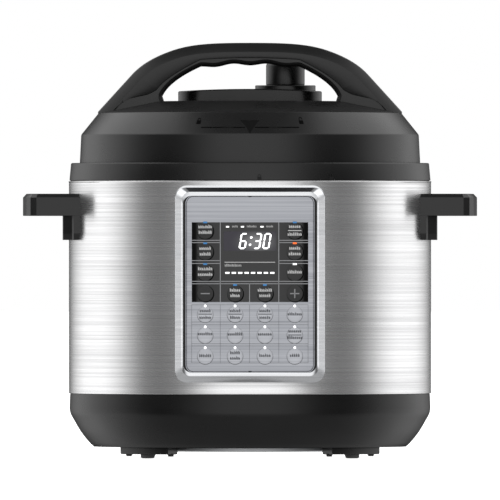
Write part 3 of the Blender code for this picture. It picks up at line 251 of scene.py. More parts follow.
def pierced(piece, cutters, smoothAngle=30):
    # takes closed shapes away from a closed piece
    cutter = joined("cutter", cutters)
    holes = piece.modifiers.new("holes", "BOOLEAN")
    holes.operation = "DIFFERENCE"
    holes.solver = "EXACT"
    holes.object = cutter
    bpy.context.view_layer.update()
    done = bpy.data.meshes.new_from_object(piece.evaluated_get(bpy.context.evaluated_depsgraph_get()))
    piece.modifiers.clear()
    piece.data = done
    bpy.data.objects.remove(cutter)
    done.shade_smooth()
    done.set_sharp_from_angle(angle=math.radians(smoothAngle))
    return piece


def fit(piece, body, slot, *nodes):
    # the piece rides on a body and stands for these frame parts
    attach(piece, body)
    if nodes:
        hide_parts(*nodes)
    return piece


def newMaterial(name, colour, roughness, metallic=0.0):
    # a plain surface; the functions below add its grain
    material = bpy.data.materials.new(name)
    material.use_nodes = True
    shader = material.node_tree.nodes["Principled BSDF"]
    shader.inputs["Base Color"].default_value = (*colour, 1.0)
    shader.inputs["Roughness"].default_value = roughness
    shader.inputs["Metallic"].default_value = metallic
    return material, material.node_tree, shader


def addNode(tree, kind, **values):
    # each value goes to the input of that name, or to the node's own setting
    node = tree.nodes.new(kind)
    for key, value in values.items():
        if key in node.inputs:
            node.inputs[key].default_value = value
        else:
            setattr(node, key, value)
    return node


def grainNoise(tree, stretch, detail=3.0, roughness=0.55):
    # noise on Object coordinates, stretched by a scale for each axis
    place = addNode(tree, "ShaderNodeTexCoord")
    mapping = addNode(tree, "ShaderNodeMapping")
    mapping.inputs["Scale"].default_value = stretch
    noise = addNode(tree, "ShaderNodeTexNoise")
    noise.inputs["Scale"].default_value = 1.0
    noise.inputs["Detail"].default_value = detail
    noise.inputs["Roughness"].default_value = roughness
    tree.links.new(place.outputs["Object"], mapping.inputs["Vector"])
    tree.links.new(mapping.outputs["Vector"], noise.inputs["Vector"])
    return noise.outputs["Fac"]


def ramp(tree, source, stops):
    # colour ramp from (position, colour) stops
    node = addNode(tree, "ShaderNodeValToRGB")
    elements = node.color_ramp.elements
    elements.remove(elements[1])
    elements[0].position = stops[0][0]
    elements[0].color = (*stops[0][1], 1.0)
    for at, colour in stops[1:]:
        elements.new(at).color = (*colour, 1.0)
    tree.links.new(source, node.inputs["Fac"])
    return node.outputs["Color"]


def spread(tree, source, low, high):
    # maps the middle of a noise onto a range of values
    node = addNode(tree, "ShaderNodeMapRange")
    node.inputs["From Min"].default_value = 0.3
    node.inputs["From Max"].default_value = 0.7
    node.inputs["To Min"].default_value = low
    node.inputs["To Max"].default_value = high
    tree.links.new(source, node.inputs["Value"])
    return node.outputs["Result"]


def bump(tree, shader, source, distance, strength=1.0):
    # relief of a given depth in metres
    node = addNode(tree, "ShaderNodeBump")
    node.inputs["Distance"].default_value = distance
    node.inputs["Strength"].default_value = strength
    tree.links.new(source, node.inputs["Height"])
    tree.links.new(node.outputs["Normal"], shader.inputs["Normal"])


def grey(value):
    # a cool neutral
    return (value, value, value * 1.01)


def mouldedPlastic(name, value, roughness, grainSize=0.0006, grainDepth=0.00002, gloss=0.5):
    # satin moulding: fine leathery grain, slightly uneven gloss
    material, tree, shader = newMaterial(name, grey(value), roughness)
    shader.inputs["Specular IOR Level"].default_value = gloss
    fine = grainNoise(tree, (1 / grainSize,) * 3, 2.0)
    wide = grainNoise(tree, (22, 22, 22), 3.0)
    tree.links.new(spread(tree, wide, roughness - 0.035, roughness + 0.045), shader.inputs["Roughness"])
    tree.links.new(ramp(tree, wide, [(0.3, grey(value * 0.88)), (0.7, grey(value * 1.15))]),
                   shader.inputs["Base Color"])
    bump(tree, shader, fine, grainDepth, 0.6)
    return material


def brushedMetal(name, light, dark, roughness, stretch, streak=0.09, anisotropy=0.55, metallic=1.0):
    # long streaks along the brushing, in colour, gloss and depth
    material, tree, shader = newMaterial(name, light, roughness, metallic)
    fine = grainNoise(tree, stretch, 4.0, 0.65)
    broad = grainNoise(tree, (stretch[0] * 0.4, stretch[1] * 0.4, stretch[2] * 0.16), 3.0, 0.6)
    both = addNode(tree, "ShaderNodeMath", operation="MULTIPLY_ADD")
    weaker = addNode(tree, "ShaderNodeMath", operation="MULTIPLY")
    weaker.inputs[1].default_value = 0.3
    both.inputs[1].default_value = 0.7
    tree.links.new(broad, weaker.inputs[0])
    tree.links.new(fine, both.inputs[0])
    tree.links.new(weaker.outputs[0], both.inputs[2])
    mixed = both.outputs[0]
    tree.links.new(ramp(tree, mixed, [(0.36, dark), (0.64, light)]), shader.inputs["Base Color"])
    tree.links.new(spread(tree, mixed, roughness + streak, roughness - streak), shader.inputs["Roughness"])
    bump(tree, shader, fine, 0.000012, 0.5)
    shader.inputs["Anisotropic"].default_value = anisotropy
    shader.inputs["Anisotropic Rotation"].default_value = 0.25
    return material


def castMetal(name, colour, roughness, metallic=1.0, cell=0.0012):
    # fine pits of a given size, with wide darker patches
    material, tree, shader = newMaterial(name, colour, roughness, metallic)
    fine = grainNoise(tree, (1 / cell,) * 3, 3.0)
    wide = grainNoise(tree, (30, 30, 30), 3.0)
    dark = tuple(c * 0.8 for c in colour)
    tree.links.new(ramp(tree, wide, [(0.3, dark), (0.7, colour)]), shader.inputs["Base Color"])
    tree.links.new(spread(tree, wide, roughness - 0.05, roughness + 0.07), shader.inputs["Roughness"])
    bump(tree, shader, fine, 0.00004, 0.5)
    return material


def softRubber(name, colour, roughness=0.7):
    # very fine grain, dull and a little dusty
    material, tree, shader = newMaterial(name, colour, roughness)
    fine = grainNoise(tree, (1400, 1400, 1400), 2.0)
    wide = grainNoise(tree, (40, 40, 40), 3.0)
    dark = tuple(c * 0.78 for c in colour)
    tree.links.new(ramp(tree, wide, [(0.3, dark), (0.7, colour)]), shader.inputs["Base Color"])
    tree.links.new(spread(tree, wide, roughness - 0.06, roughness + 0.08), shader.inputs["Roughness"])
    bump(tree, shader, fine, 0.00003, 0.5)
    return material


def glowing(name, colour, strength):
    # a lit window: colour of its own, a little uneven
    material, tree, shader = newMaterial(name, colour, 0.4)
    wide = grainNoise(tree, (500, 500, 500), 2.0)
    dim = tuple(c * 0.92 for c in colour)
    tree.links.new(ramp(tree, wide, [(0.3, dim), (0.7, colour)]), shader.inputs["Emission Color"])
    shader.inputs["Emission Strength"].default_value = strength
    return material


def printedInk(name, colour, roughness=0.5, gloss=0.5):
    # flat ink, slightly uneven in tone
    material, tree, shader = newMaterial(name, colour, roughness)
    shader.inputs["Specular IOR Level"].default_value = gloss
    fine = grainNoise(tree, (900, 900, 900), 2.0)
    dim = tuple(c * 0.86 for c in colour)
    tree.links.new(ramp(tree, fine, [(0.3, dim), (0.7, colour)]), shader.inputs["Base Color"])
    return material


filmReflectionTone = {
    "halfWidth": 0.0434,
    # painted reflection: brightness by share of the half width
    "stops": [(0.0, 0.074), (0.48, 0.074), (0.52, 0.066), (0.88, 0.052), (0.935, 0.003), (1.0, 0.001)],
}


def glossyField():
    # printed black film with a painted reflection in its base colour: darkest along its outer edges, lighter
    # towards the display
    material, tree, shader = newMaterial("blackFilm", (0.040, 0.040, 0.041), 0.26)
    shader.inputs["Specular IOR Level"].default_value = 0.05
    place = addNode(tree, "ShaderNodeTexCoord")
    axes = addNode(tree, "ShaderNodeSeparateXYZ")
    tree.links.new(place.outputs["Object"], axes.inputs[0])
    away = addNode(tree, "ShaderNodeMath", operation="ABSOLUTE")
    tree.links.new(axes.outputs["X"], away.inputs[0])
    share = addNode(tree, "ShaderNodeMath", operation="DIVIDE")
    share.inputs[1].default_value = filmReflectionTone["halfWidth"]
    tree.links.new(away.outputs[0], share.inputs[0])
    stops = [(at, grey(value)) for at, value in filmReflectionTone["stops"]]
    # the base colour carries the painted reflection
    tree.links.new(ramp(tree, share.outputs[0], stops), shader.inputs["Base Color"])
    wide = grainNoise(tree, (14, 14, 60), 2.0)
    tree.links.new(spread(tree, wide, 0.22, 0.30), shader.inputs["Roughness"])
    return material


lensGlow = {"shift": (0.005, -0.0009), "reach": (0.021, 0.0125), "strength": 0.75}


def displayWindow():
    # dark lens that brightens towards the lit digits
    low, high = spanOf("display_lens")
    material, tree, shader = newMaterial("displayLens", (0.008, 0.0075, 0.010), 0.18)
    shader.inputs["Specular IOR Level"].default_value = 0.2
    place = addNode(tree, "ShaderNodeTexCoord")
    mapping = addNode(tree, "ShaderNodeMapping")
    centreX = (low[0] + high[0]) / 2 + lensGlow["shift"][0]
    centreZ = (low[2] + high[2]) / 2 + lensGlow["shift"][1]
    wide, tall = lensGlow["reach"]
    mapping.inputs["Location"].default_value = (-centreX / wide, 0.0, -centreZ / tall)
    mapping.inputs["Scale"].default_value = (1 / wide, 0.0, 1 / tall)
    glow = addNode(tree, "ShaderNodeTexGradient", gradient_type="QUADRATIC_SPHERE")
    tree.links.new(place.outputs["Object"], mapping.inputs["Vector"])
    tree.links.new(mapping.outputs["Vector"], glow.inputs["Vector"])
    colour = ramp(tree, glow.outputs["Fac"], [(0.0, (0.050, 0.047, 0.058)), (0.10, (0.075, 0.075, 0.08)),
                                              (0.6, (0.26, 0.26, 0.265))])
    tree.links.new(colour, shader.inputs["Emission Color"])
    shader.inputs["Emission Strength"].default_value = lensGlow["strength"]
    return material


def smokedPlastic():
    # clear grey plastic
    material, tree, shader = newMaterial("smokedPlastic", (0.42, 0.43, 0.44), 0.12)
    shader.inputs["Transmission Weight"].default_value = 0.75
    shader.inputs["IOR"].default_value = 1.49
    wide = grainNoise(tree, (50, 50, 50), 2.0)
    tree.links.new(spread(tree, wide, 0.10, 0.20), shader.inputs["Roughness"])
    return material


coats = {
    # brightness, roughness
    "shell": mouldedPlastic("shellBlack", 0.0075, 0.28, gloss=0.42),
    "handle": mouldedPlastic("handleBlack", 0.0080, 0.30, gloss=0.44),
    "base": mouldedPlastic("baseBlack", 0.0080, 0.28, gloss=0.31),
    # painted shade: flat black for the gap behind the keypad window's edge
    "gapShade": mouldedPlastic("gapShadeBlack", 0.004, 0.6),
    "rimBlack": mouldedPlastic("gripInsert", 0.0035, 0.55),
    "keyDark": mouldedPlastic("keyDark", 0.050, 0.26, 0.0012, 0.000004, 0.08),
    # light and dark streaks, roughness, stretch, uneven gloss, anisotropy
    "steel": brushedMetal("brushedSteel", (0.93, 0.93, 0.935), (0.62, 0.62, 0.625), 0.26, (2.5, 2.5, 760),
                          0.05, 0.5, 0.90),
    "chrome": brushedMetal("satinChrome", (0.80, 0.81, 0.83), (0.66, 0.67, 0.69), 0.20, (12, 12, 700),
                           0.03, 0.0),
    # painted shade: a darker copy of the chrome for the bezel's top flank, which faces up
    "chromePaintedShade": brushedMetal("paintedShadeChrome", (0.16, 0.165, 0.175), (0.10, 0.105, 0.11), 0.24, (3, 3, 900),
                               0.03, 0.0),
    "panel": brushedMetal("panelSilver", (0.47, 0.48, 0.51), (0.30, 0.31, 0.34), 0.42, (5, 5, 1300),
                          0.04, 0.3),
    "keySilver": brushedMetal("keySilver", (0.50, 0.51, 0.54), (0.38, 0.39, 0.42), 0.38, (5, 5, 1300),
                              0.03, 0.2),
    "bright": brushedMetal("potSteel", (0.72, 0.72, 0.72), (0.58, 0.58, 0.58), 0.22, (12, 12, 500),
                           0.05, 0.4),
    "spun": brushedMetal("spunSteel", (0.66, 0.66, 0.66), (0.50, 0.50, 0.50), 0.27, (260, 260, 30),
                         0.06, 0.2),
    "cast": castMetal("castAluminium", (0.52, 0.52, 0.53), 0.46),
    "zinc": castMetal("zincSheet", (0.40, 0.41, 0.42), 0.42, 1.0, 0.004),
    "spring": castMetal("springWire", (0.35, 0.35, 0.36), 0.35, 1.0, 0.0008),
    "board": castMetal("circuitBoard", (0.03, 0.14, 0.06), 0.5, 0.0, 0.002),
    "rubber": softRubber("footRubber", (0.055, 0.055, 0.055), 0.8),
    "silicone": softRubber("sealSilicone", (0.62, 0.61, 0.58), 0.42),
    "floatRed": softRubber("floatCap", (0.45, 0.03, 0.02), 0.45),
    # the same black ink also paints the shadow line under the dark keys
    "markAndShadow": printedInk("engravedMarkAndShadow", (0.001, 0.001, 0.001), 0.85, 0.08),
    "arrowMark": printedInk("arrowMark", (0.002, 0.002, 0.002), 0.7, 0.14),
    "faintMark": printedInk("faintMark", (0.004, 0.004, 0.004), 0.6, 0.3),
    "inkLight": printedInk("inkLight", (0.80, 0.80, 0.80)),
    "inkGrey": printedInk("inkGrey", (0.32, 0.32, 0.33)),
    "inkDark": printedInk("inkDark", (0.018, 0.019, 0.024), 0.5, 0.2),
    "inkLine": printedInk("inkLine", (0.20, 0.205, 0.22)),
    "inkEdge": printedInk("inkEdge", (0.035, 0.035, 0.04), 0.5, 0.2),
    "inkSilver": printedInk("inkSilver", (0.36, 0.365, 0.38), 0.4),
    # painted shadow line under the silver keys
    "gapShadowSilver": printedInk("gapShadowSilver", (0.15, 0.152, 0.165)),
    "ledWhite": glowing("ledWhite", (1.0, 1.0, 1.0), 1.1),
    "ledBlue": glowing("ledBlue", (0.02, 0.14, 0.34), 0.7),
    "ledOrange": glowing("ledOrange", (0.85, 0.13, 0.01), 0.9),
    "digit": glowing("digitGlow", (1.0, 1.0, 1.0), 1.6),
    "film": glossyField(),
    "lens": displayWindow(),
    "smoked": smokedPlastic(),
}
print("materials made:", len(bpy.data.materials))


# camera, light and stage
studio = {
    "distance": 17.0,
    "frameWidth": 0.375,          # width that the picture covers at the cooker's axis
    "aimHeight": 0.1556,
    "backdrop": 1.0,
    "brightest": 1.7,
    # light of the tent by angle round the cooker: 0 in front of the keypad, 180 behind
    "ring": [(0, 1.20), (20, 1.20), (30, 0.85), (38, 0.44), (46, 0.20), (58, 0.12), (72, 0.17), (84, 0.56),
             (95, 1.05), (108, 1.32), (132, 1.25), (146, 0.80), (158, 0.32), (168, 0.06), (180, 0.02)],
    # the same, 20 to 55 degrees up
    "upperRing": [(0, 1.20), (30, 0.95), (50, 0.80), (62, 0.95), (76, 1.40), (100, 1.70), (146, 1.60),
                  (157, 0.90), (168, 0.20), (180, 0.04)],
    "top": 0.20,
    "under": 0.46,
    # heights, as z of the direction, over which one part of the tent gives way to the next
    "risesTo": (0.25, 0.55),
    "topFrom": (0.85, 0.93),
    "underFrom": (-0.38, -0.84),
    "floorRadius": 40.0,
    "floorGlow": 0.90,
}


def makeCamera():
    # straight on from far away; the lens is 36 mm times distance over the width that is seen
    data = bpy.data.cameras.new("camera")
    data.sensor_width = 36
    data.lens = 36 * studio["distance"] / studio["frameWidth"]
    data.clip_start = 1
    data.clip_end = 200
    camera = bpy.data.objects.new("camera", data)
    camera.location = (0, axisY - studio["distance"], studio["aimHeight"])
    camera.rotation_euler = (math.pi / 2, 0, 0)
    bpy.context.scene.collection.objects.link(camera)
    bpy.context.scene.camera = camera


def mathNode(tree, operation, first, second=None):
    # first and second are sockets or plain numbers
    node = addNode(tree, "ShaderNodeMath", operation=operation)
    for socket, value in zip(node.inputs, (first, second)):
        if value is None:
            continue
        if isinstance(value, (int, float)):
            socket.default_value = value
        else:
            tree.links.new(value, socket)
    return node.outputs[0]


def makeWorld():
    # a soft tent: light by angle round the cooker, dimmer overhead and underneath; white to the camera
    world = bpy.data.worlds.new("tent")
    world.use_nodes = True
    tree = world.node_tree
    tree.nodes.clear()
    place = addNode(tree, "ShaderNodeTexCoord")
    axes = addNode(tree, "ShaderNodeSeparateXYZ")
    tree.links.new(place.outputs["Generated"], axes.inputs[0])
    x, y, z = axes.outputs
    turn = mathNode(tree, "ARCTAN2", mathNode(tree, "ABSOLUTE", x), mathNode(tree, "MULTIPLY", y, -1.0))
    share = mathNode(tree, "DIVIDE", turn, math.pi)
    rings = []
    for name in ("ring", "upperRing"):
        stops = [(angle / 180, (level / studio["brightest"],) * 3) for angle, level in studio[name]]
        rings.append(ramp(tree, share, stops))
    rise = addNode(tree, "ShaderNodeMapRange", interpolation_type="SMOOTHSTEP")
    rise.inputs["From Min"].default_value = studio["risesTo"][0]
    rise.inputs["From Max"].default_value = studio["risesTo"][1]
    tree.links.new(z, rise.inputs["Value"])
    blend = addNode(tree, "ShaderNodeMixRGB")
    tree.links.new(rise.outputs[0], blend.inputs[0])
    tree.links.new(rings[0], blend.inputs[1])
    tree.links.new(rings[1], blend.inputs[2])
    ring = blend.outputs[0]
    high = addNode(tree, "ShaderNodeMapRange", interpolation_type="SMOOTHSTEP")
    low = addNode(tree, "ShaderNodeMapRange", interpolation_type="SMOOTHSTEP")
    for node, (start, end) in ((high, studio["topFrom"]), (low, studio["underFrom"])):
        node.inputs["From Min"].default_value = start
        node.inputs["From Max"].default_value = end
        tree.links.new(z, node.inputs["Value"])
    withTop = addNode(tree, "ShaderNodeMixRGB")
    withTop.inputs[2].default_value = (studio["top"] / studio["brightest"],) * 3 + (1,)
    tree.links.new(high.outputs[0], withTop.inputs[0])
    tree.links.new(ring, withTop.inputs[1])
    withBoth = addNode(tree, "ShaderNodeMixRGB")
    withBoth.inputs[2].default_value = (studio["under"] / studio["brightest"],) * 3 + (1,)
    tree.links.new(low.outputs[0], withBoth.inputs[0])
    tree.links.new(withTop.outputs[0], withBoth.inputs[1])
    output = addNode(tree, "ShaderNodeOutputWorld")
    seen = addNode(tree, "ShaderNodeBackground")
    seen.inputs["Color"].default_value = (1, 1, 1, 1)
    seen.inputs["Strength"].default_value = studio["backdrop"]
    lit = addNode(tree, "ShaderNodeBackground")
    tree.links.new(withBoth.outputs[0], lit.inputs["Color"])
    lit.inputs["Strength"].default_value = studio["brightest"]
    path = addNode(tree, "ShaderNodeLightPath")
    mix = addNode(tree, "ShaderNodeMixShader")
    tree.links.new(path.outputs["Is Camera Ray"], mix.inputs["Fac"])
    tree.links.new(lit.outputs[0], mix.inputs[1])
    tree.links.new(seen.outputs[0], mix.inputs[2])
    tree.links.new(mix.outputs[0], output.inputs["Surface"])
    bpy.context.scene.world = world


def makeFloor():
    # a wide pale disc just under the feet that casts nothing back onto the cooker
    material, tree, shader = newMaterial("paleFloor", (0.80, 0.80, 0.80), 0.7)
    wide = grainNoise(tree, (3, 3, 3), 2.0)
    tree.links.new(spread(tree, wide, 0.66, 0.74), shader.inputs["Roughness"])
    shader.inputs["Emission Color"].default_value = (1, 1, 1, 1)
    shader.inputs["Emission Strength"].default_value = studio["floorGlow"]
    t = np.arange(96) * tau / 96
    radius = studio["floorRadius"]
    points = np.stack([radius * np.cos(t), radius * np.sin(t), np.full(96, -0.0002)], -1)
    floor = meshPiece("floor", points, [np.arange(96)[None]], material)
    floor.visible_glossy = False
    floor.visible_diffuse = False


def makeStudio():
    bpy.context.scene.view_settings.view_transform = "Standard"
    makeCamera()
    makeWorld()
    makeFloor()


makeStudio()
print("studio made")


wall = {
    "lipHeight": 1.1 * mm,
    "lipReach": 0.25 * mm,
    "footRound": 0.6 * mm,
    "thickness": 0.0007,
    "openingMargin": 5.5 * mm,    # how far the keypad's opening stays inside the bezel
}


def makeSteelWall():
    # r(z) is constant, with a rolled lip at the top and a small quarter round at the foot
    low, high = steelLow[2], steelHigh[2]
    footRound, lipHeight = wall["footRound"], wall["lipHeight"]
    z = np.concatenate([
        np.linspace(low, low + footRound, 5),
        np.linspace(low + 0.004, high - 0.004, 64),
        high - lipHeight * 1.6 + np.linspace(0, 1, 12) * lipHeight * 1.6,
    ])
    down = np.clip((low + footRound - z) / footRound, 0, 1)
    lip = np.clip((z - (high - lipHeight)) / lipHeight, 0, 1)
    r = (bodyRadius + 0.0001 - footRound * (1 - np.sqrt(1 - down ** 2))
         + wall["lipReach"] * np.sin(math.pi * lip))
    frameLow, frameHigh = spanOf("control_bezel")
    count = 360
    t = np.arange(count) * tau / count - math.pi / 2
    points = np.stack([
        r[:, None] * np.cos(t),
        axisY + r[:, None] * np.sin(t),
        np.repeat(z[:, None], count, 1),
    ], -1)
    quads = gridFaces(len(z), count)
    middle = points.reshape(-1, 3)[quads].mean(1)
    margin = wall["openingMargin"]
    inWindow = ((np.abs(middle[:, 0]) < frameHigh[0] - margin) & (middle[:, 1] < axisY)
                & (middle[:, 2] > frameLow[2] + margin) & (middle[:, 2] < frameHigh[2] - margin))
    piece = meshPiece("steel_wall", points, [quads[~inWindow]], coats["steel"])
    thick = piece.modifiers.new("sheet", "SOLIDIFY")
    thick.thickness = wall["thickness"]
    thick.offset = -1
    return fit(piece, "housing", "brushed_steel", "outer_housing")


rimBand = {
    "width": 7.2 * mm,
    "floorHeight": 2.0 * mm,
    "hubLap": 5.2 * mm,           # how far the channel's floor reaches inside the locking pot
    "skirt": 1.1 * mm,
    "draft": (0.3 * mm, 1.5 * mm),
}


def makeRim():
    # profile turned round the axis: a skirt inside the steel, a leaning outer face and a low channel
    outer = bodyRadius
    top, low = rimHigh[2], steelHigh[2] + 0.0005
    inner = outer - rimBand["width"]
    floor = rimLow[2] + rimBand["floorHeight"]
    hub = spanOf("locking_pot")[1][0] - rimBand["hubLap"]
    skirt = outer - rimBand["skirt"]
    leanLow, leanTop = rimBand["draft"]
    corners = [
        (hub, rimLow[2]), (skirt, rimLow[2]), (skirt, low), (outer - leanLow, low), (outer - leanTop, top),
        (inner, top), (inner, floor), (hub, floor), (hub, rimLow[2]),
    ]
    profile = softCorners(corners, [0, 0, 0.5 * mm, 1.0 * mm, 0.8 * mm, 0.4 * mm, 0])
    return fit(turned("rim_band", profile[:-1], coats["shell"], closed=True), "housing", "black_plastic",
               "rim_ring")


base = {
    "topGap": 0.4 * mm,
    # side of the shell, as (in from the steel, down from the top) in mm
    "curve": [(0.1, 0.0), (0.4, 10.7), (1.2, 14.6), (3.6, 19.2), (9.0, 28.3), (15.1, 36.0), (18.7, 39.4)],
    "bottomRing": 48.0 * mm,
    "wall": 3.2 * mm,
}
footBlock = {
    "inset": 27.7 * mm,
    "width": 13 * mm,
    "height": 3.0 * mm,
    "sweep": 25.5,
    "edge": 0.8 * mm,
    "nubAngle": 11.8,
    "nub": [(0, 1.5), (2.0, 1.5), (2.6, 3.3), (0, 3.3)],
}


def smoothLine(points, count):
    # Catmull-Rom curve through the points
    p = np.asarray(points, float)
    p = np.concatenate([2 * p[:1] - p[1:2], p, 2 * p[-1:] - p[-2:-1]])
    t = np.linspace(0, 1, count, endpoint=False)[:, None]
    parts = []
    for a, b, c, d in zip(p[:-3], p[1:-2], p[2:-1], p[3:]):
        parts.append(0.5 * (2 * b + (c - a) * t + (2 * a - 5 * b + 4 * c - d) * t ** 2
                            + (3 * b - a - 3 * c + d) * t ** 3))
    parts.append(p[-2:-1])
    return np.concatenate(parts)


def arcBlock(name, radius, width, middle, sweep, low, high, edge, coat):
    # a block bent round the axis, between two levels
    t = np.radians(np.linspace(middle - sweep / 2, middle + sweep / 2, 14))
    outer = np.stack([(radius + width / 2) * np.cos(t), (radius + width / 2) * np.sin(t)], -1)
    inner = np.stack([(radius - width / 2) * np.cos(t), (radius - width / 2) * np.sin(t)], -1)[::-1]
    outline = np.concatenate([outer, inner]) + [0, axisY]
    return slab(name, outline, low, high, edge, coat, "Z", 3)


def makeBase():
    # the side follows a smooth curve through matched points and is turned round the axis; four bent
    # blocks with two small nubs each stand under it
    top = steelLow[2] - base["topGap"]
    curve = [(bodyRadius - inward * mm, top - down * mm) for inward, down in base["curve"]]
    band = np.array([curve[0], (curve[1][0], curve[1][1] + 0.5 * mm)])
    outer = np.concatenate([band, smoothLine(curve[1:], 8)])
    floor = outer[-1][1]
    ring = bodyRadius - base["bottomRing"]
    inside = [
        (ring, floor), (ring, floor + 2.5 * mm), (outer[-1][0] - 2 * mm, floor + 2.5 * mm),
        (bodyRadius - 12 * mm, top - 26 * mm), (bodyRadius - base["wall"], top - 10 * mm),
        (bodyRadius - base["wall"], top + 5 * mm), (bodyRadius - 1.2 * mm, top + 5 * mm),
        (bodyRadius - 1.2 * mm, top),
    ]
    lead = np.array([(bodyRadius - 1.2 * mm, top), (bodyRadius - 0.8 * mm, top)])
    profile = np.concatenate([lead, outer[1:], np.array(inside[:-1])])
    shell = turned("base_shell", profile, coats["base"], closed=True, count=200)
    pieces = [shell]
    footRadius = bodyRadius - footBlock["inset"]
    nub = softCorners(np.array(footBlock["nub"]) * mm, [0.4 * mm, 0])
    for k in range(4):
        middle = 45 + 90 * k
        pieces.append(arcBlock(f"footBlock{k}", footRadius, footBlock["width"], middle, footBlock["sweep"],
                               footBlock["height"], floor + 1.5 * mm, footBlock["edge"], coats["base"]))
        for side in (-1, 1):
            a = math.radians(middle + side * footBlock["nubAngle"])
            centre = (footRadius * math.cos(a), axisY + footRadius * math.sin(a))
            pieces.append(turned(f"footNub{k}{side}", nub, coats["base"], centre, 24))
    return fit(joined("base_shell", pieces), "housing", "black_plastic", "base_housing")


inlet = {"margin": 6 * mm, "corner": 4 * mm, "play": 0.3 * mm, "depth": 22 * mm}


def makeInletBoss():
    # a square tube: a rounded outline whose inner loop fits the inlet
    low, high = spanOf("power_inlet")
    margin, play = inlet["margin"], inlet["play"]
    half = high[0] + margin
    back = high[1]
    outline = roundedBox(-half, half, low[2] - margin, high[2] + margin, inlet["corner"], 6)
    window = roundedBox(low[0] - play, high[0] + play, low[2] - play, high[2] + play, 1.2 * mm, 6)
    front = back - inlet["depth"]
    loops = [placed(outline, front, "Y"), placed(outline, back - 0.8 * mm, "Y"),
             placed(inset(outline, 0.3 * mm), back - 0.2 * mm, "Y"),
             placed(inset(outline, 0.8 * mm), back, "Y"),
             placed(window, back, "Y"), placed(window, front, "Y")]
    boss = lofted("inlet_boss", loops, coats["base"], ring=True)
    fit(boss, "housing", "black_plastic")
    socket = softened("power_inlet", 0.5 * mm, coats["handle"], 2)
    return fit(socket, "housing", "black_plastic", "power_inlet")


underside = {"sheet": 0.8 * mm, "bend": 1.2 * mm}


def makeUnderside():
    # a shallow sheet pan and four pads, each a rounded profile turned round its own centre
    low, high = spanOf("bottom_cover")
    radius, sheet = high[0], underside["sheet"]
    corners = [(0, low[2]), (radius, low[2]), (radius, high[2]), (radius - sheet, high[2]),
               (radius - sheet, low[2] + sheet), (0, low[2] + sheet)]
    profile = softCorners(corners, [underside["bend"], 0.2 * mm, 0.2 * mm, 0.8 * mm])
    disc = turned("underside_sheet", profile, coats["zinc"])
    fit(disc, "housing", "galvanised_steel", "bottom_cover")
    for k in range(4):
        footLow, footHigh = spanOf(f"rubber_foot_{k + 1}")
        centre = (footLow[:2] + footHigh[:2]) / 2
        radius = (footHigh[0] - footLow[0]) / 2
        corners = [(0, 0), (radius - 1.0 * mm, 0.05 * mm), (radius, 0.8 * mm), (radius, footHigh[2]),
                   (0, footHigh[2])]
        foot = turned(f"foot_pad_{k + 1}", softCorners(corners, [1.0 * mm, 0.5 * mm, 0.3 * mm]),
                      coats["rubber"], centre, 40)
        fit(foot, "housing", "grey_rubber", f"rubber_foot_{k + 1}")


makeSteelWall()
makeRim()
makeBase()
makeInletBoss()
makeUnderside()
print("body made")


cover = {
    "draft": 1.3 * mm,
    "skirt": 26.0 * mm,
    "shoulderHeight": 16.4 * mm,
    "shoulderInset": 13.2 * mm,
    "deckInset": 43.4 * mm,
    "wall": 1.5 * mm,
    "roof": 2.0 * mm,
}
coverRadius = coverHigh[0]
skirtTop = coverLow[2] + cover["skirt"]
shoulderTop = skirtTop + cover["shoulderHeight"]
shoulderRadius = coverRadius - cover["draft"] - cover["shoulderInset"]
deckRadius = shoulderRadius - cover["deckInset"]


def makeCover():
    # turned profile: leaning skirt, steep cone, shallow cone and flat top, with the same line inside
    draftRadius = coverRadius - cover["draft"]
    corners = [
        (0, deckTop), (deckRadius, deckTop), (shoulderRadius, shoulderTop), (draftRadius, skirtTop),
        (coverRadius, coverLow[2]), (coverRadius - cover["wall"], coverLow[2]),
        (coverRadius - cover["wall"], coverLow[2] + 6 * mm),
        (draftRadius - cover["roof"], skirtTop - 1 * mm),
        (shoulderRadius - 1 * mm, shoulderTop - cover["roof"]), (deckRadius, deckTop - cover["roof"]),
        (0, deckTop - cover["roof"]),
    ]
    radii = [4 * mm, 0.7 * mm, 0.8 * mm, 0.4 * mm, 0.2 * mm, 0.5 * mm, 1 * mm, 1 * mm, 2 * mm]
    profile = softCorners(corners, radii)
    shell = turned("lid_shell", profile, coats["shell"], count=240)
    return fit(shell, "lid", "black_plastic", "lid_cover")


def onCone(name, flat, lift, coat):
    # wraps a flat outline, x across and z up, on the cone band of the lid
    slope = cover["shoulderInset"] / cover["shoulderHeight"]
    radius = coverRadius - cover["draft"] - (flat[:, 1] - skirtTop) * slope
    t = flat[:, 0] / (coverRadius - 8 * mm)
    loops = []
    for rise in (-0.4 * mm, lift):
        r = radius + rise
        loops.append(np.stack([r * np.sin(t), axisY - r * np.cos(t), flat[:, 1] + rise * slope], -1))
    return lofted(name, loops, coat, smoothAngle=20)


def padlock(x, z, height, opened):
    # a padlock from three parts: a body, a bow as a half ring, and two legs of unequal length when opened
    w, h = height * 0.62, height * 0.5
    body = np.array([(-w / 2, 0), (w / 2, 0), (w / 2, h), (-w / 2, h)])
    r, pen = w * 0.34, height * 0.09
    t = np.linspace(0, math.pi, 9)
    bow = np.concatenate([np.stack([(r + pen / 2) * np.cos(t), (r + pen / 2) * np.sin(t)], -1),
                          np.stack([(r - pen / 2) * np.cos(t), (r - pen / 2) * np.sin(t)], -1)[::-1]])
    lift = h + height * (0.24 if opened else 0.12)
    bow = bow + [0, lift]
    legs = []
    for side in (-1, 1):
        foot = h + (height * 0.12 if opened and side > 0 else 0)
        a, b = side * r - pen / 2, side * r + pen / 2
        legs.append(np.array([(a, foot), (b, foot), (b, lift), (a, lift)]))
    return [part + [x, z] for part in [body, bow] + legs]


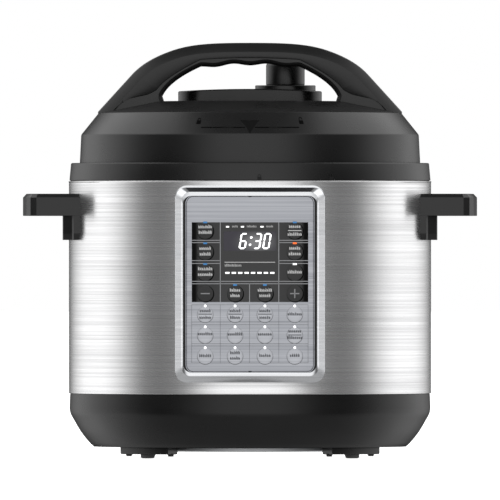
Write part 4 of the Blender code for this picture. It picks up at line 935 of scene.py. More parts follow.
lidMarks = {
    "height": 4.9 * mm,
    "arrow": [(-7.2, 5.4), (-3.2, 1.2), (0.0, -4.6), (3.2, 1.2), (7.2, 5.4)],
    "line": (3.6 * mm, 36.2 * mm),
    "lineHalf": 0.3 * mm,
    "lift": 0.12 * mm,
    "lock": (39.0 * mm, 5.2 * mm),     # place along the line, height
    "rimLocks": [(7.0 * mm, False), (60.5 * mm, True)],
}


def makeLidMarks():
    # flat outlines wrapped on the cone, and on the rim's cylinder where y = -sqrt(r^2 - x^2)
    middle, lift, half = skirtTop + lidMarks["height"], lidMarks["lift"], lidMarks["lineHalf"]
    arrow = np.array(lidMarks["arrow"]) * mm + [0, middle]
    marks = [onCone("arrow", arrow, lift, coats["arrowMark"])]
    lockAt, lockHeight = lidMarks["lock"]
    for side in (-1, 1):
        x = np.linspace(*lidMarks["line"], 16) * side
        line = np.concatenate([np.stack([x, np.full(16, middle - half)], -1),
                               np.stack([x[::-1], np.full(16, middle + half)], -1)])
        if side < 0:
            line = line[::-1]
        marks.append(onCone("line", line, lift, coats["markAndShadow"]))
        for part in padlock(side * lockAt, middle + lockHeight / 2, lockHeight, side > 0):
            marks.append(onCone("lock", part, lift, coats["markAndShadow"]))
    fit(joined("lid_marks", marks), "lid", "black_plastic")
    faint = []
    for x, opened in lidMarks["rimLocks"]:
        for part in padlock(x, rimLow[2] + 3.2 * mm, 5.0 * mm, opened):
            r = bodyRadius - 0.45 * mm
            loops = []
            for rise in (-0.3 * mm, 0.22 * mm):
                y = axisY - np.sqrt((r + rise) ** 2 - part[:, 0] ** 2)
                loops.append(np.stack([part[:, 0], y, part[:, 1]], -1))
            faint.append(lofted("rimMark", loops, coats["faintMark"], smoothAngle=20))
    fit(joined("rim_marks", faint), "housing", "black_plastic")


grip = {
    "overhang": 0.9 * mm,
    "tuck": (1.6 * mm, 4.2 * mm),
    "rim": 2.8 * mm,
    "halfWidth": 17.5 * mm,
    "footSpread": 6.5 * mm,
    "chamfer": 7.2 * mm,
    "chamferDepth": 6.0 * mm,
    "legTop": (88.2 * mm, 23.5 * mm),
    "shoulderBend": (77.7 * mm, 12.1 * mm),
    "crownEnd": 56.7 * mm,
    "crownFall": (0.407, 380.0),
    "fingerHalf": 65.7 * mm,
    "fingerRoof": 16.0 * mm,
    "wave": 0.8 * mm,
    "wavePitch": 25.5 * mm,
    "sag": 1.8,
    "frameWidth": 5.0 * mm,
    # foot of the line between the halves, as (in from the shoulder's radius, up from the shoulder)
    "footLine": [(11.9, 1.6), (18.8, 9.8), (37.3, 13.7), (43.2, 17.0)],
}
gripTop = spanOf("lid_handle")[1][2]


def mirroredLine(half):
    # adds the +X half of a line that ends at x = 0
    return np.concatenate([half, (half[:-1] * [-1, 1])[::-1]])


def archLine():
    # three matched stretches: straight leg tucked in at its foot, bent shoulder, and a crown that
    # falls as a x^2 + b x^4
    leg = np.array([-grip["legTop"][0], gripTop - grip["legTop"][1]])
    foot = np.array([-shoulderRadius - grip["overhang"], shoulderTop + 0.3 * mm])
    tuck = foot + [grip["tuck"][0], -grip["tuck"][1]]
    x = np.linspace(-grip["crownEnd"], 0, 24)
    a, b = grip["crownFall"]
    top = np.stack([x, gripTop - a * x ** 2 - b * x ** 4], -1)
    corner = np.array([-grip["shoulderBend"][0], gripTop - grip["shoulderBend"][1]])
    return [resample(np.array([tuck, foot, leg]), 26), resample(bend(leg, corner, top[0], 30), 20), top]


def fingerLine():
    # round sides up to an underside of waves: roof - wave cos(2 pi x / pitch) - sag x^2
    roof = gripTop - grip["fingerRoof"]
    waveEnd = -1.45 * grip["wavePitch"]
    x = np.linspace(waveEnd, 0, 40)
    top = np.stack([x, roof - grip["wave"] * np.cos(tau * x / grip["wavePitch"]) - grip["sag"] * x ** 2], -1)
    sideLow = np.array([-grip["fingerHalf"], deckTop + 3.8 * mm])
    foot = np.array([-grip["fingerHalf"] + 1.7 * mm, deckTop - 1.5 * mm])
    side = bend(sideLow, (-grip["fingerHalf"] + 5.2 * mm, roof - 12.4 * mm), top[0], 30)
    return [resample(np.array([foot, sideLow]), 26), resample(side, 20), resample(top, 24)]


def partingLine():
    # between the two halves of the handle: along the foot, up the side and over the top
    roof = gripTop - grip["fingerRoof"] + grip["frameWidth"]
    foot = np.array([(-shoulderRadius + inward * mm, shoulderTop + up * mm)
                     for inward, up in grip["footLine"]])
    foot = softCorners(foot, [1.0 * mm, 2.5 * mm], 6)
    shoulder = np.array([-0.037, roof - 1.7 * mm])
    corner = (-grip["fingerHalf"] + 2.4 * mm, roof - grip["frameWidth"] - 9.6 * mm)
    side = bend(foot[-1], corner, shoulder, 30)
    top = bend(shoulder, (-0.018, roof - 0.4 * mm), (0, roof - 0.4 * mm), 24)
    return [resample(foot, 26), resample(side, 20), resample(top, 24)]


def whole(parts):
    # the three stretches as one line from foot to foot
    return mirroredLine(np.concatenate([parts[0], parts[1][1:], parts[2][1:]]))


def sideways(line, steady=4):
    # unit normals to the left of an open line; the first and last few share one direction
    run = np.gradient(line, axis=0)
    run = run / np.linalg.norm(run, axis=1, keepdims=True)
    normal = np.stack([-run[:, 1], run[:, 0]], -1)
    normal[:steady] = normal[steady]
    normal[-steady:] = normal[-steady - 1]
    return normal


def gripHalf(x):
    # half width of the handle: grows as the square of x towards its feet
    return grip["halfWidth"] + grip["footSpread"] * (x / shoulderRadius) ** 2


def bandLoops(outer, inner, section):
    # carries a section from foot to foot; a section point is (share towards the inner line,
    # distance inwards from the outer line, distance outwards from the inner line, depth from the flank)
    outNormal = -sideways(outer)
    inNormal = sideways(inner)
    loops = []
    for side in (-1, 1):
        chosen = section if side < 0 else section[::-1]
        for share, fromOuter, fromInner, depth in chosen:
            if share == 0:
                line = outer + outNormal * fromOuter
            else:
                line = inner + inNormal * fromInner
            y = axisY + side * (gripHalf(line[:, 0]) - depth)
            loops.append(np.stack([line[:, 0], y, line[:, 1]], -1))
    return np.stack(loops, 1)


def makeHandle():
    # three shells carried from foot to foot between the top, parting and finger lines
    arch = whole(archLine())
    parting = whole(partingLine())
    finger = whole(fingerLine())
    chamfer, depth = grip["chamfer"], grip["chamferDepth"]
    section = [
        (1, 0, 0.04 * mm, 0.6 * mm), (1, 0, 0.10 * mm, 0.14 * mm), (1, 0, 0.35 * mm, 0.0),
        (0, chamfer + 0.5 * mm, 0, 0.0), (0, chamfer + 0.05 * mm, 0, 0.06 * mm),
        (0, chamfer - 0.5 * mm, 0, 0.38 * mm),
        (0, 0.9 * mm, 0, depth - 0.75 * mm), (0, 0.35 * mm, 0, depth - 0.15 * mm),
        (0, 0.05 * mm, 0, depth + 0.6 * mm), (0, 0.0, 0, depth + 2.0 * mm),
    ]
    upper = lofted("handle_upper", bandLoops(arch, parting, section), coats["handle"])
    fit(upper, "lid", "black_plastic", "lid_handle")
    rim = grip["rim"]
    section = [
        (1, 0, rim, 1.6 * mm), (1, 0, rim + 0.02 * mm, 0.22 * mm), (1, 0, rim + 0.2 * mm, 0.0),
        (0, 0.35 * mm, 0, 0.0), (0, 0.10 * mm, 0, 0.14 * mm), (0, 0.04 * mm, 0, 0.6 * mm),
    ]
    lower = lofted("handle_lower", bandLoops(parting, finger, section), coats["handle"])
    fit(lower, "lid", "black_plastic", "handle_grip")
    section = [
        (1, 0, 0.0, 6.5 * mm), (1, 0, 0.0, 4.2 * mm), (1, 0, 0.25 * mm, 2.7 * mm),
        (1, 0, 0.8 * mm, 1.5 * mm), (1, 0, 1.7 * mm, 0.65 * mm), (1, 0, rim - 0.1 * mm, 0.2 * mm),
        (1, 0, rim + 0.1 * mm, 0.5 * mm), (1, 0, rim + 0.1 * mm, 1.8 * mm),
    ]
    insert = lofted("finger_insert", bandLoops(parting, finger, section), coats["rimBlack"])
    fit(insert, "lid", "black_plastic", "handle_grip")


platform = {"corner": 19 * mm, "edge": 1.0 * mm, "crown": 1.7 * mm, "floatHole": 4.1 * mm}


def makePlatform():
    # rounded outline lofted upwards; the top falls off as the square of x
    low, high = spanOf("valve_platform")
    corner = min(platform["corner"], 0.48 * (high[1] - low[1]))
    outline = roundedBox(low[0], high[0], low[1], high[1], corner, 16)
    outline = resample(np.concatenate([outline, outline[:1]]), 161)[:-1]
    edge = platform["edge"]
    loops = [placed(outline, deckTop - 7 * mm, "Z"), placed(outline, high[2] - edge, "Z")]
    for a in np.linspace(0, math.pi / 2, 6)[1:]:
        level = high[2] - edge * (1 - math.sin(a))
        loops.append(placed(inset(outline, edge * (1 - math.cos(a))), level, "Z"))
    middle = np.array([(low[0] + high[0]) / 2, (low[1] + high[1]) / 2])
    for share in (0.85, 0.6, 0.3, 0.05):
        loops.append(placed(middle + (inset(outline, edge) - middle) * share, high[2], "Z"))
    loops = np.array(loops)
    loops[1:, :, 2] -= platform["crown"] * (loops[1:, :, 0] / high[0]) ** 2
    block = lofted("valve_block", loops, coats["shell"])
    floatLow, floatHigh = spanOf("float_valve")
    middle = (floatLow + floatHigh) / 2
    t = np.arange(48) * tau / 48
    hole = middle[:2] + platform["floatHole"] * np.stack([np.cos(t), np.sin(t)], -1)
    ends = [placed(hole, deckTop - 9 * mm, "Z"), placed(hole, high[2] + 5 * mm, "Z")]
    shaft = lofted("shaft", ends, coats["shell"])
    pierced(block, [shaft])
    return fit(block, "lid", "black_plastic", "valve_platform")


valves = {
    "seatBore": 4.4 * mm,
    "seatLip": (15.4 * mm, 15.8 * mm),
    "seatDepth": 4.2 * mm,
    "knobFin": (6 * mm, 3.5 * mm),     # height, half width
    "knobWall": 2 * mm,
    "pinStem": 3.4 * mm,
    "pinHead": 4.4 * mm,
}


def makeSeat():
    # turned ring with a low lip round its pit
    low, high = spanOf("steam_valve_seat")
    centre = (low[:2] + high[:2]) / 2
    radius = (high[0] - low[0]) / 2
    bore, (lipIn, lipOut) = valves["seatBore"], valves["seatLip"]
    pit, under = high[2] - 0.8 * mm, high[2] - valves["seatDepth"]
    corners = [(bore, pit), (lipIn, pit), (lipOut, high[2]), (radius, high[2]), (radius, under),
               (bore, under)]
    seat = turned("valve_seat_ring", softCorners(corners, [0.2 * mm, 0.3 * mm, 0.7 * mm, 0.2 * mm]),
                  coats["shell"], centre, 96, True)
    fit(seat, "lid", "black_plastic", "steam_valve_seat")
    return centre


def makeKnob(centre):
    # a cup turned round the valve's axis, with a rounded bar across its top
    low, high = spanOf("steam_release_knob")
    radius = (high[0] - low[0]) / 2
    finHeight, finHalf = valves["knobFin"]
    body = high[2] - finHeight
    inner = radius - valves["knobWall"]
    corners = [(0, body), (radius, body), (radius, low[2] - 0.2 * mm), (inner, low[2] - 0.2 * mm),
               (inner, body - 4 * mm), (0, body - 4 * mm)]
    cup = turned("knobCup", softCorners(corners, [2.6 * mm, 0.6 * mm, 0.4 * mm, 1 * mm]), coats["handle"],
                 centre, 80)
    fin = roundedBox(centre[0] - radius + 1.6 * mm, centre[0] + radius - 1.6 * mm, centre[1] - finHalf,
                     centre[1] + finHalf, 3.3 * mm, 8)
    fin = slab("knobFin", fin, body - 1 * mm, high[2], 1.2 * mm, coats["handle"])
    fit(joined("release_knob", [cup, fin]), "steam_knob", "black_plastic", "steam_release_knob")


def makeFloat():
    # turned pin: stem, stop collar and a thin tail for its cap
    low, high = spanOf("float_valve")
    centre = (low[:2] + high[:2]) / 2
    stem, head = valves["pinStem"], valves["pinHead"]
    corners = [(0, high[2]), (stem, high[2]), (stem, low[2] + 10 * mm), (head, low[2] + 10 * mm),
               (head, low[2] + 8 * mm), (2.6 * mm, low[2] + 8 * mm), (1.6 * mm, low[2] + 4 * mm),
               (1.6 * mm, low[2]), (0, low[2])]
    profile = softCorners(corners, [0.7 * mm] + [0.3 * mm] * 3 + [0.2 * mm] * 2 + [0.3 * mm])
    pin = turned("float_pin", profile, coats["bright"], centre, 48)
    fit(pin, "float", "bright_steel", "float_valve")


makeCover()
makeLidMarks()
makeHandle()
makePlatform()
makeKnob(makeSeat())
makeFloat()
print("lid made")


bezel = {
    "flange": (0.10 * mm, 1.5 * mm, 0.45 * mm),    # flat lip: at the sides, at the top, at the bottom
    "sideDepth": 6.0 * mm,
    "lift": 0.4 * mm,
    "crest": (4.5 * mm, 4.8 * mm, 4.9 * mm),       # where the flank ends, from the outer edge
    "window": (5.75 * mm, 7.6 * mm, 7.5 * mm),
    "setback": (1.6 * mm, 1.05 * mm, 0.5 * mm),
    "corners": (9.0 * mm, 8.4 * mm, 7.2 * mm, 6.4 * mm),
}
bezelLow, bezelHigh = spanOf("control_bezel")
panelLow, panelHigh = spanOf("control_panel")
panelFront = panelLow[1]
bezelFront = bezelLow[1]


def bezelOutline(insets, corner):
    # the bezel's own outline, pulled in at the sides, the top and the bottom
    side, top, bottom = insets
    return roundedBox(-bezelHigh[0] + side, bezelHigh[0] - side, bezelLow[2] + bottom, bezelHigh[2] - top,
                      corner, 16)


def onWall(outline, lift=0.0):
    # drops an outline of (x, z) onto the steel cylinder
    r = bodyRadius + lift
    y = axisY - np.sqrt(r ** 2 - outline[:, 0] ** 2)
    return np.stack([outline[:, 0], y, outline[:, 1]], -1)


def makeBezel():
    # loops from the wall over a flat lip, up the flank to a crest, and down a bevel into the window
    corners = bezel["corners"]
    edge = bezelOutline((0, 0, 0), corners[0])
    lip = bezelOutline(bezel["flange"], corners[1])
    crest = bezelOutline(bezel["crest"], corners[2])
    window = bezelOutline(bezel["window"], corners[3])
    normal = crest - inset(crest, 1 * mm)
    normal = normal / np.linalg.norm(normal, axis=1, keepdims=True)
    side, top, bottom = bezel["setback"]
    setback = (side * normal[:, 0] ** 2 + top * np.clip(normal[:, 1], 0, 1) ** 2
               + bottom * np.clip(-normal[:, 1], 0, 1) ** 2)
    lipLoop = onWall(lip, bezel["lift"])
    lipLoop[:, 1] = np.minimum(lipLoop[:, 1], bezelFront + bezel["sideDepth"])
    crestLoop = placed(crest, bezelFront + setback, "Y")
    windowLoop = placed(window, bezelFront, "Y")
    edgeLoop = onWall(edge, 0.1 * mm)
    forwardEdge = edgeLoop + 0.0
    forwardEdge[:, 1] = lipLoop[:, 1] + 0.25 * mm
    loops = [onWall(edge, -3 * mm), edgeLoop, forwardEdge]
    loops += [lipLoop + (crestLoop - lipLoop) * share for share in (0.0, 0.03, 0.5, 0.965, 0.995)]
    loops += [crestLoop + (windowLoop - crestLoop) * share for share in (0.08, 0.5, 0.92)]
    loops += [windowLoop + [0, 0.04 * mm, 0], placed(inset(window, 0.15 * mm), bezelFront + 0.2 * mm, "Y"),
              placed(inset(window, 0.2 * mm), bezelFront + 2.5 * mm, "Y")]
    piece = lofted("keypad_frame", np.array(loops), coats["chrome"], capped=False, smoothAngle=24)
    mesh = piece.data
    mesh.materials.append(coats["chromePaintedShade"])
    facing = np.empty(len(mesh.polygons) * 3)
    mesh.polygons.foreach_get("normal", facing)
    facing = facing.reshape(-1, 3)
    # the faces of the top flank, which look up, get the darker chrome: painted shade
    shadedTopFlank = (facing[:, 2] > 0.8) & (facing[:, 1] < -0.25) & (facing[:, 1] > -0.6)
    mesh.polygons.foreach_set("material_index", shadedTopFlank.astype(np.int32))
    fit(piece, "housing", "satin_chrome", "control_bezel")
    # a black sheet in the gap between the window's edge and the panel: painted shade
    ground = [placed(inset(window, -0.3 * mm), panelFront + 0.55 * mm, "Y"),
              placed(inset(window, 2.6 * mm), panelFront + 0.55 * mm, "Y")]
    shadow = lofted("keypad_gap_shade", np.array(ground), coats["gapShade"], capped=False)
    fit(shadow, "housing", "black_plastic")


panelPrint = {
    "fieldHalf": 43.3 * mm,
    "fieldTop": 20.2 * mm,        # all of these are measured down from the panel's top edge
    "fieldLow": 79.5 * mm,
    "rowLines": [(33.6, 35.3), (48.7, 50.8)],
    "lastLines": (64.1, 65.9),
    "columnLines": (-22.1, 21.4),
    "middleLine": -0.35,
    "gridLines": (81.4, 94.3, 96.2, 110.4, 112.1, 124.7),
    "gridColumns": (-43.4, -22.1, -0.35, 21.4, 43.2),
    "gridHalf": 0.16,
}


def printedBox(lowX, highX, lowZ, highZ, lift, coat, depth=0.25 * mm):
    # a thin printed area that stands a hair proud of the panel
    outline = np.array([(lowX, lowZ), (highX, lowZ), (highX, highZ), (lowX, highZ)])
    loops = [placed(outline, panelFront - lift + depth, "Y"), placed(outline, panelFront - lift, "Y")]
    return lofted("print", loops, coat)


def makePanel():
    # a rounded plate pierced for the keys, with thin printed areas and lines that stand just proud of it
    outline = roundedBox(panelLow[0] + 0.35 * mm, panelHigh[0] - 0.35 * mm, panelLow[2], panelHigh[2],
                         6.1 * mm, 14)
    plate = slab("panel_plate", outline, panelFront, panelHigh[1], 0.4 * mm, coats["panel"], "Y")
    fit(pierced(plate, keyHoles(keyNodes)), "housing", "silver_panel", "control_panel")
    top = panelHigh[2]
    half = panelPrint["fieldHalf"]
    field = printedBox(-half, half, top - panelPrint["fieldLow"], top - panelPrint["fieldTop"], 0.06 * mm,
                       coats["film"])
    pierced(field, keyHoles([node for node in keyNodes if int(node.split("_")[1]) < 5]))
    fit(field, "housing", "dark_window")
    lines = []
    lift = 0.10 * mm

    def across(lowX, highX, down, thickness=0.55):
        lines.append(printedBox(lowX * mm, highX * mm, top - (down + thickness / 2) * mm,
                                top - (down - thickness / 2) * mm, lift, coats["inkSilver"]))

    def upright(x, topDown, lowDown, thickness=0.6):
        lines.append(printedBox((x - thickness / 2) * mm, (x + thickness / 2) * mm, top - lowDown * mm,
                                top - topDown * mm, lift, coats["inkSilver"]))

    wide = half / mm
    for pair in panelPrint["rowLines"]:
        for down in pair:
            across(-wide, panelPrint["columnLines"][0], down)
            across(panelPrint["columnLines"][1], wide, down)
    for down in panelPrint["lastLines"]:
        across(-wide, wide, down)
    for x in panelPrint["columnLines"]:
        upright(x, panelPrint["fieldTop"] / mm, panelPrint["fieldLow"] / mm)
    upright(panelPrint["middleLine"], panelPrint["lastLines"][1], panelPrint["fieldLow"] / mm)
    fit(joined("field_lines", lines), "housing", "silver_panel")
    lines = []
    ringOut, ringIn = inset(outline, 0.75 * mm), inset(outline, 1.2 * mm)
    ring = [placed(ringOut, panelFront + 0.1 * mm, "Y"), placed(ringOut, panelFront - 0.03 * mm, "Y"),
            placed(ringIn, panelFront - 0.03 * mm, "Y"), placed(ringIn, panelFront + 0.1 * mm, "Y")]
    lines.append(lofted("edgeLine", np.array(ring), coats["inkEdge"], ring=True))
    lowest = panelPrint["gridLines"][-1]
    highest = panelPrint["gridLines"][0]
    thin, rise, ink = panelPrint["gridHalf"], 0.03 * mm, coats["inkLine"]
    for down in panelPrint["gridLines"]:
        lines.append(printedBox(-half, half, top - (down + thin) * mm, top - (down - thin) * mm, rise, ink))
    for x in panelPrint["gridColumns"]:
        lines.append(printedBox((x - thin) * mm, (x + thin) * mm, top - lowest * mm, top - highest * mm,
                                rise, ink))
    for z in (top - 0.9 * mm, panelLow[2] + 1.0 * mm):
        t = np.arange(20) * tau / 20
        outline = np.stack([1.5 * mm * np.cos(t), z + 0.6 * mm * np.sin(t)], -1)
        loops = [placed(outline, panelFront + 0.2 * mm, "Y"), placed(outline, panelFront - 0.04 * mm, "Y")]
        lines.append(lofted("notch", loops, coats["inkDark"]))
    fit(joined("grid_lines", lines), "housing", "silver_panel")


display = {
    "digitHeight": 12.0 * mm,
    "digitWidth": 4.1 * mm,
    "stroke": 1.2 * mm,
    "slant": 0.17,
    "digits": [("6", -5.0), ("3", 5.7), ("0", 12.6)],
    "colon": 0.5,
    "segments": {"6": "acdefg", "3": "abcdg", "0": "abcdef"},
}


def segmentOutline(a, b, thickness):
    # a bar with pointed ends between two points
    a, b = np.asarray(a, float), np.asarray(b, float)
    run = (b - a) / np.linalg.norm(b - a)
    side = np.array([-run[1], run[0]]) * thickness / 2
    tip = run * thickness / 2
    return np.array([a, a + tip - side, b - tip - side, b, b - tip + side, a + tip + side])


def makeDisplay():
    # a glass plate and digits of seven bars; a bar's x gains slant times its height
    low, high = spanOf("display_lens")
    outline = roundedBox(low[0], high[0], low[2], high[2], 0.5 * mm, 4)
    loops = [placed(outline, panelFront + 0.4 * mm, "Y"), placed(outline, panelFront - 0.11 * mm, "Y")]
    lens = lofted("display_glass", loops, coats["lens"])
    fit(lens, "housing", "dark_window", "display_lens")
    middle = (low[2] + high[2]) / 2
    h, w, s = display["digitHeight"] / 2, display["digitWidth"] / 2, display["stroke"]
    gap = 0.22 * mm
    bars = {
        "a": ((-w + gap, h), (w - gap, h)), "b": ((w, h - gap), (w, gap)),
        "c": ((w, -gap), (w, -h + gap)), "d": ((-w + gap, -h), (w - gap, -h)),
        "e": ((-w, -gap), (-w, -h + gap)), "f": ((-w, h - gap), (-w, gap)),
        "g": ((-w + gap, 0), (w - gap, 0)),
    }
    pieces = []

    def lit(outline, x):
        outline = outline + 0.0
        outline[:, 1] *= (h - s / 2) / h
        outline[:, 0] += outline[:, 1] * display["slant"] + x
        outline[:, 1] += middle
        loops = [placed(outline, panelFront - 0.02 * mm, "Y"), placed(outline, panelFront - 0.17 * mm, "Y")]
        pieces.append(lofted("lit", loops, coats["digit"]))

    for digit, x in display["digits"]:
        for letter in display["segments"][digit]:
            lit(segmentOutline(*bars[letter], s), x * mm)
    for z in (-3.0 * mm, 3.0 * mm):
        t = np.arange(16) * tau / 16
        lit(np.stack([0.9 * mm * np.cos(t), z + 0.9 * mm * np.sin(t)], -1), display["colon"] * mm)
    fit(joined("display_digits", pieces), "housing", "dark_window")


def strokes(lowX, highX, z, height, seed):
    # a row of small bars of uneven height, as a stand-in for a word: (lowX, highX, lowZ, highZ) each
    pick = np.random.default_rng(seed)
    count = max(2, int(round((highX - lowX) / (height * 0.70))))
    pitch = (highX - lowX) / count
    x = lowX + pitch * np.arange(count)
    tall = np.where(pick.random(count) < 0.35, height * 1.28, height)
    foot = np.full(count, z - height / 2)
    return np.stack([x + pitch * 0.10, x + pitch * 0.80, foot, z - height / 2 + tall], -1)


def strokeLoops(box, levelAt, thickness):
    # a hollow letter-sized frame: three bars of each little box
    lowX, highX, lowZ, highZ = box
    pen = (highX - lowX) * 0.40
    bars = [(lowX, lowX + pen, lowZ, highZ), (highX - pen, highX, lowZ, lowZ + (highZ - lowZ) * 0.8),
            (lowX, highX, lowZ + (highZ - lowZ) * 0.36, lowZ + (highZ - lowZ) * 0.36 + pen)]
    out = []
    for a, b, c, d in bars:
        flat = np.array([(a, c), (b, c), (b, d), (a, d)])
        y = levelAt(flat[:, 0], flat[:, 1])
        front = np.stack([flat[:, 0], y - thickness, flat[:, 1]], -1)
        back = np.stack([flat[:, 0], y + thickness * 2, flat[:, 1]], -1)
        out.append(np.stack([back, front]))
    return out


def barsMesh(name, blocks, coat):
    # many small boxes, each two loops of four points, as one mesh
    blocks = np.array(blocks)
    n = len(blocks)
    points = blocks.reshape(-1, 3)
    sides = gridFaces(2, 4)
    caps = np.array([[3, 2, 1, 0], [4, 5, 6, 7]])
    local = np.concatenate([sides, caps])
    faces = (local[None] + 8 * np.arange(n)[:, None, None]).reshape(-1, 4)
    return meshPiece(name, points, [faces], coat, 20)


fieldPrint = {
    # each as (low x, high x, down from the panel's top, height) in mm
    "lamps": [(x + 0.25, x + 2.55, 23.5, 1.05) for x in (-18.1, -7.0, 7.5)],
    "steps": [(-18.35 + 4.77 * k, -15.25 + 4.77 * k, 57.8, 1.25) for k in range(8)],
    "rule": (-18.9, 18.7, 49.9, 0.45),
    "words": [(-13.4, -9.0, 23.3, 1.25), (-2.4, 5.0, 23.3, 1.25), (12.0, 17.2, 23.3, 1.25),
              (-18.9, -6.2, 52.3, 1.5)],
}


def makeFieldPrint():
    # lit bars, one rule and rows of small strokes, all as thin boxes on one level
    top = panelHigh[2]
    bright, dim = [], []

    def flatLevel(x, z):
        return np.full(len(x), panelFront - 0.08 * mm)

    def bar(store, lowX, highX, down, height):
        z = top - down * mm
        half = height / 2 * mm
        x = np.array([lowX, highX, highX, lowX]) * mm
        z = np.array([z - half, z - half, z + half, z + half])
        y = flatLevel(x, z)
        store.append(np.stack([np.stack([x, y + 0.1 * mm, z], -1), np.stack([x, y - 0.03 * mm, z], -1)]))

    for row in fieldPrint["lamps"] + fieldPrint["steps"]:
        bar(bright, *row)
    bar(dim, *fieldPrint["rule"])
    for k, (lowX, highX, down, height) in enumerate(fieldPrint["words"]):
        for box in strokes(lowX * mm, highX * mm, top - down * mm, height * mm, 40 + k):
            dim.extend(strokeLoops(box, flatLevel, 0.03 * mm))
    lit = barsMesh("status_bars", bright, coats["ledWhite"])
    fit(lit, "housing", "dark_window")
    fit(barsMesh("field_words", dim, coats["inkLight"]), "housing", "dark_window")


keyShape = {
    "radius": 6.0 * mm,
    "dome": 0.42 * mm,
    "peak": 0.8 * mm,
    "peakWidth": 0.30,
    "clearance": 0.09 * mm,
    "lampHeight": 6.35 * mm,
    "wordHeight": (2.0 * mm, 2.05 * mm),     # on silver keys, on dark keys
}
plusMinus = ("key_4_1", "key_4_4")
# rows of strokes on a key, as (height above its middle, low x, high x) in mm
labels = {
    "key_1_1": [(3.0, -5.2, 5.2), (-1.2, -5.0, 5.0)], "key_1_4": [(3.2, -4.4, 4.4), (-2.6, -5.4, 5.4)],
    "key_2_1": [(2.4, -4.4, 4.4), (-1.8, -4.2, 4.2)], "key_2_4": [(2.6, -4.2, 4.2), (-1.6, -4.6, 4.6)],
    "key_3_1": [(2.8, -5.5, 5.5), (-1.4, -5.5, 5.5)], "key_3_4": [(0.4, -5.4, 5.4)],
    "key_4_2": [(2.4, -4.0, 4.0), (-1.6, -3.6, 3.6)], "key_4_3": [(2.4, -5.4, 5.4), (-1.6, -4.2, 4.2)],
    "key_5_1": [(2.6, -4.2, 4.2), (-2.4, -4.4, 4.4)], "key_5_2": [(2.6, -4.2, 4.2), (-2.4, -3.8, 3.8)],
    "key_5_3": [(2.6, -4.2, 4.2), (-2.4, -4.2, 4.2)], "key_5_4": [(0.2, -5.4, 5.4)],
    "key_6_1": [(1.0, -5.6, 5.6)], "key_6_2": [(0.8, -5.6, 5.6)], "key_6_3": [(0.8, -5.2, 5.2)],
    "key_6_4": [(3.0, -4.8, 4.8), (-1.8, -5.6, 5.6)],
    "key_7_1": [(0.2, -4.6, 4.6)], "key_7_2": [(2.4, -3.8, 3.8), (-1.6, -3.8, 3.8)],
    "key_7_3": [(0.4, -4.4, 4.4)], "key_7_4": [(0.4, -3.8, 3.8)],
}
underlined = ("key_1_4", "key_5_1", "key_5_2", "key_5_3", "key_6_4")
ledCoats = {"key_2_4": "ledOrange", "key_3_4": "ledWhite"}


def keyOutline(node, grow=0.0, count=72):
    # teardrop: r(t) = radius + peak exp(-(angle from the top / width)^2)
    low, high = spanOf(node)
    t = np.arange(count) * tau / count
    away = np.abs((t - math.pi / 2 + math.pi) % tau - math.pi)
    r = keyShape["radius"] - 0.1 * mm + grow + keyShape["peak"] * np.exp(-(away / keyShape["peakWidth"]) ** 2)
    middle = (low + high) / 2
    return np.stack([middle[0] + r * np.cos(t), middle[2] + r * np.sin(t)], -1)


def keyHoles(nodes):
    # closed shafts a little wider than the caps
    cutters = []
    for node in nodes:
        outline = keyOutline(node, keyShape["clearance"])
        cutters.append(lofted("hole", [placed(outline, panelFront + 8 * mm, "Y"),
                                       placed(outline, panelFront - 1 * mm, "Y")], coats["gapShade"]))
    return cutters


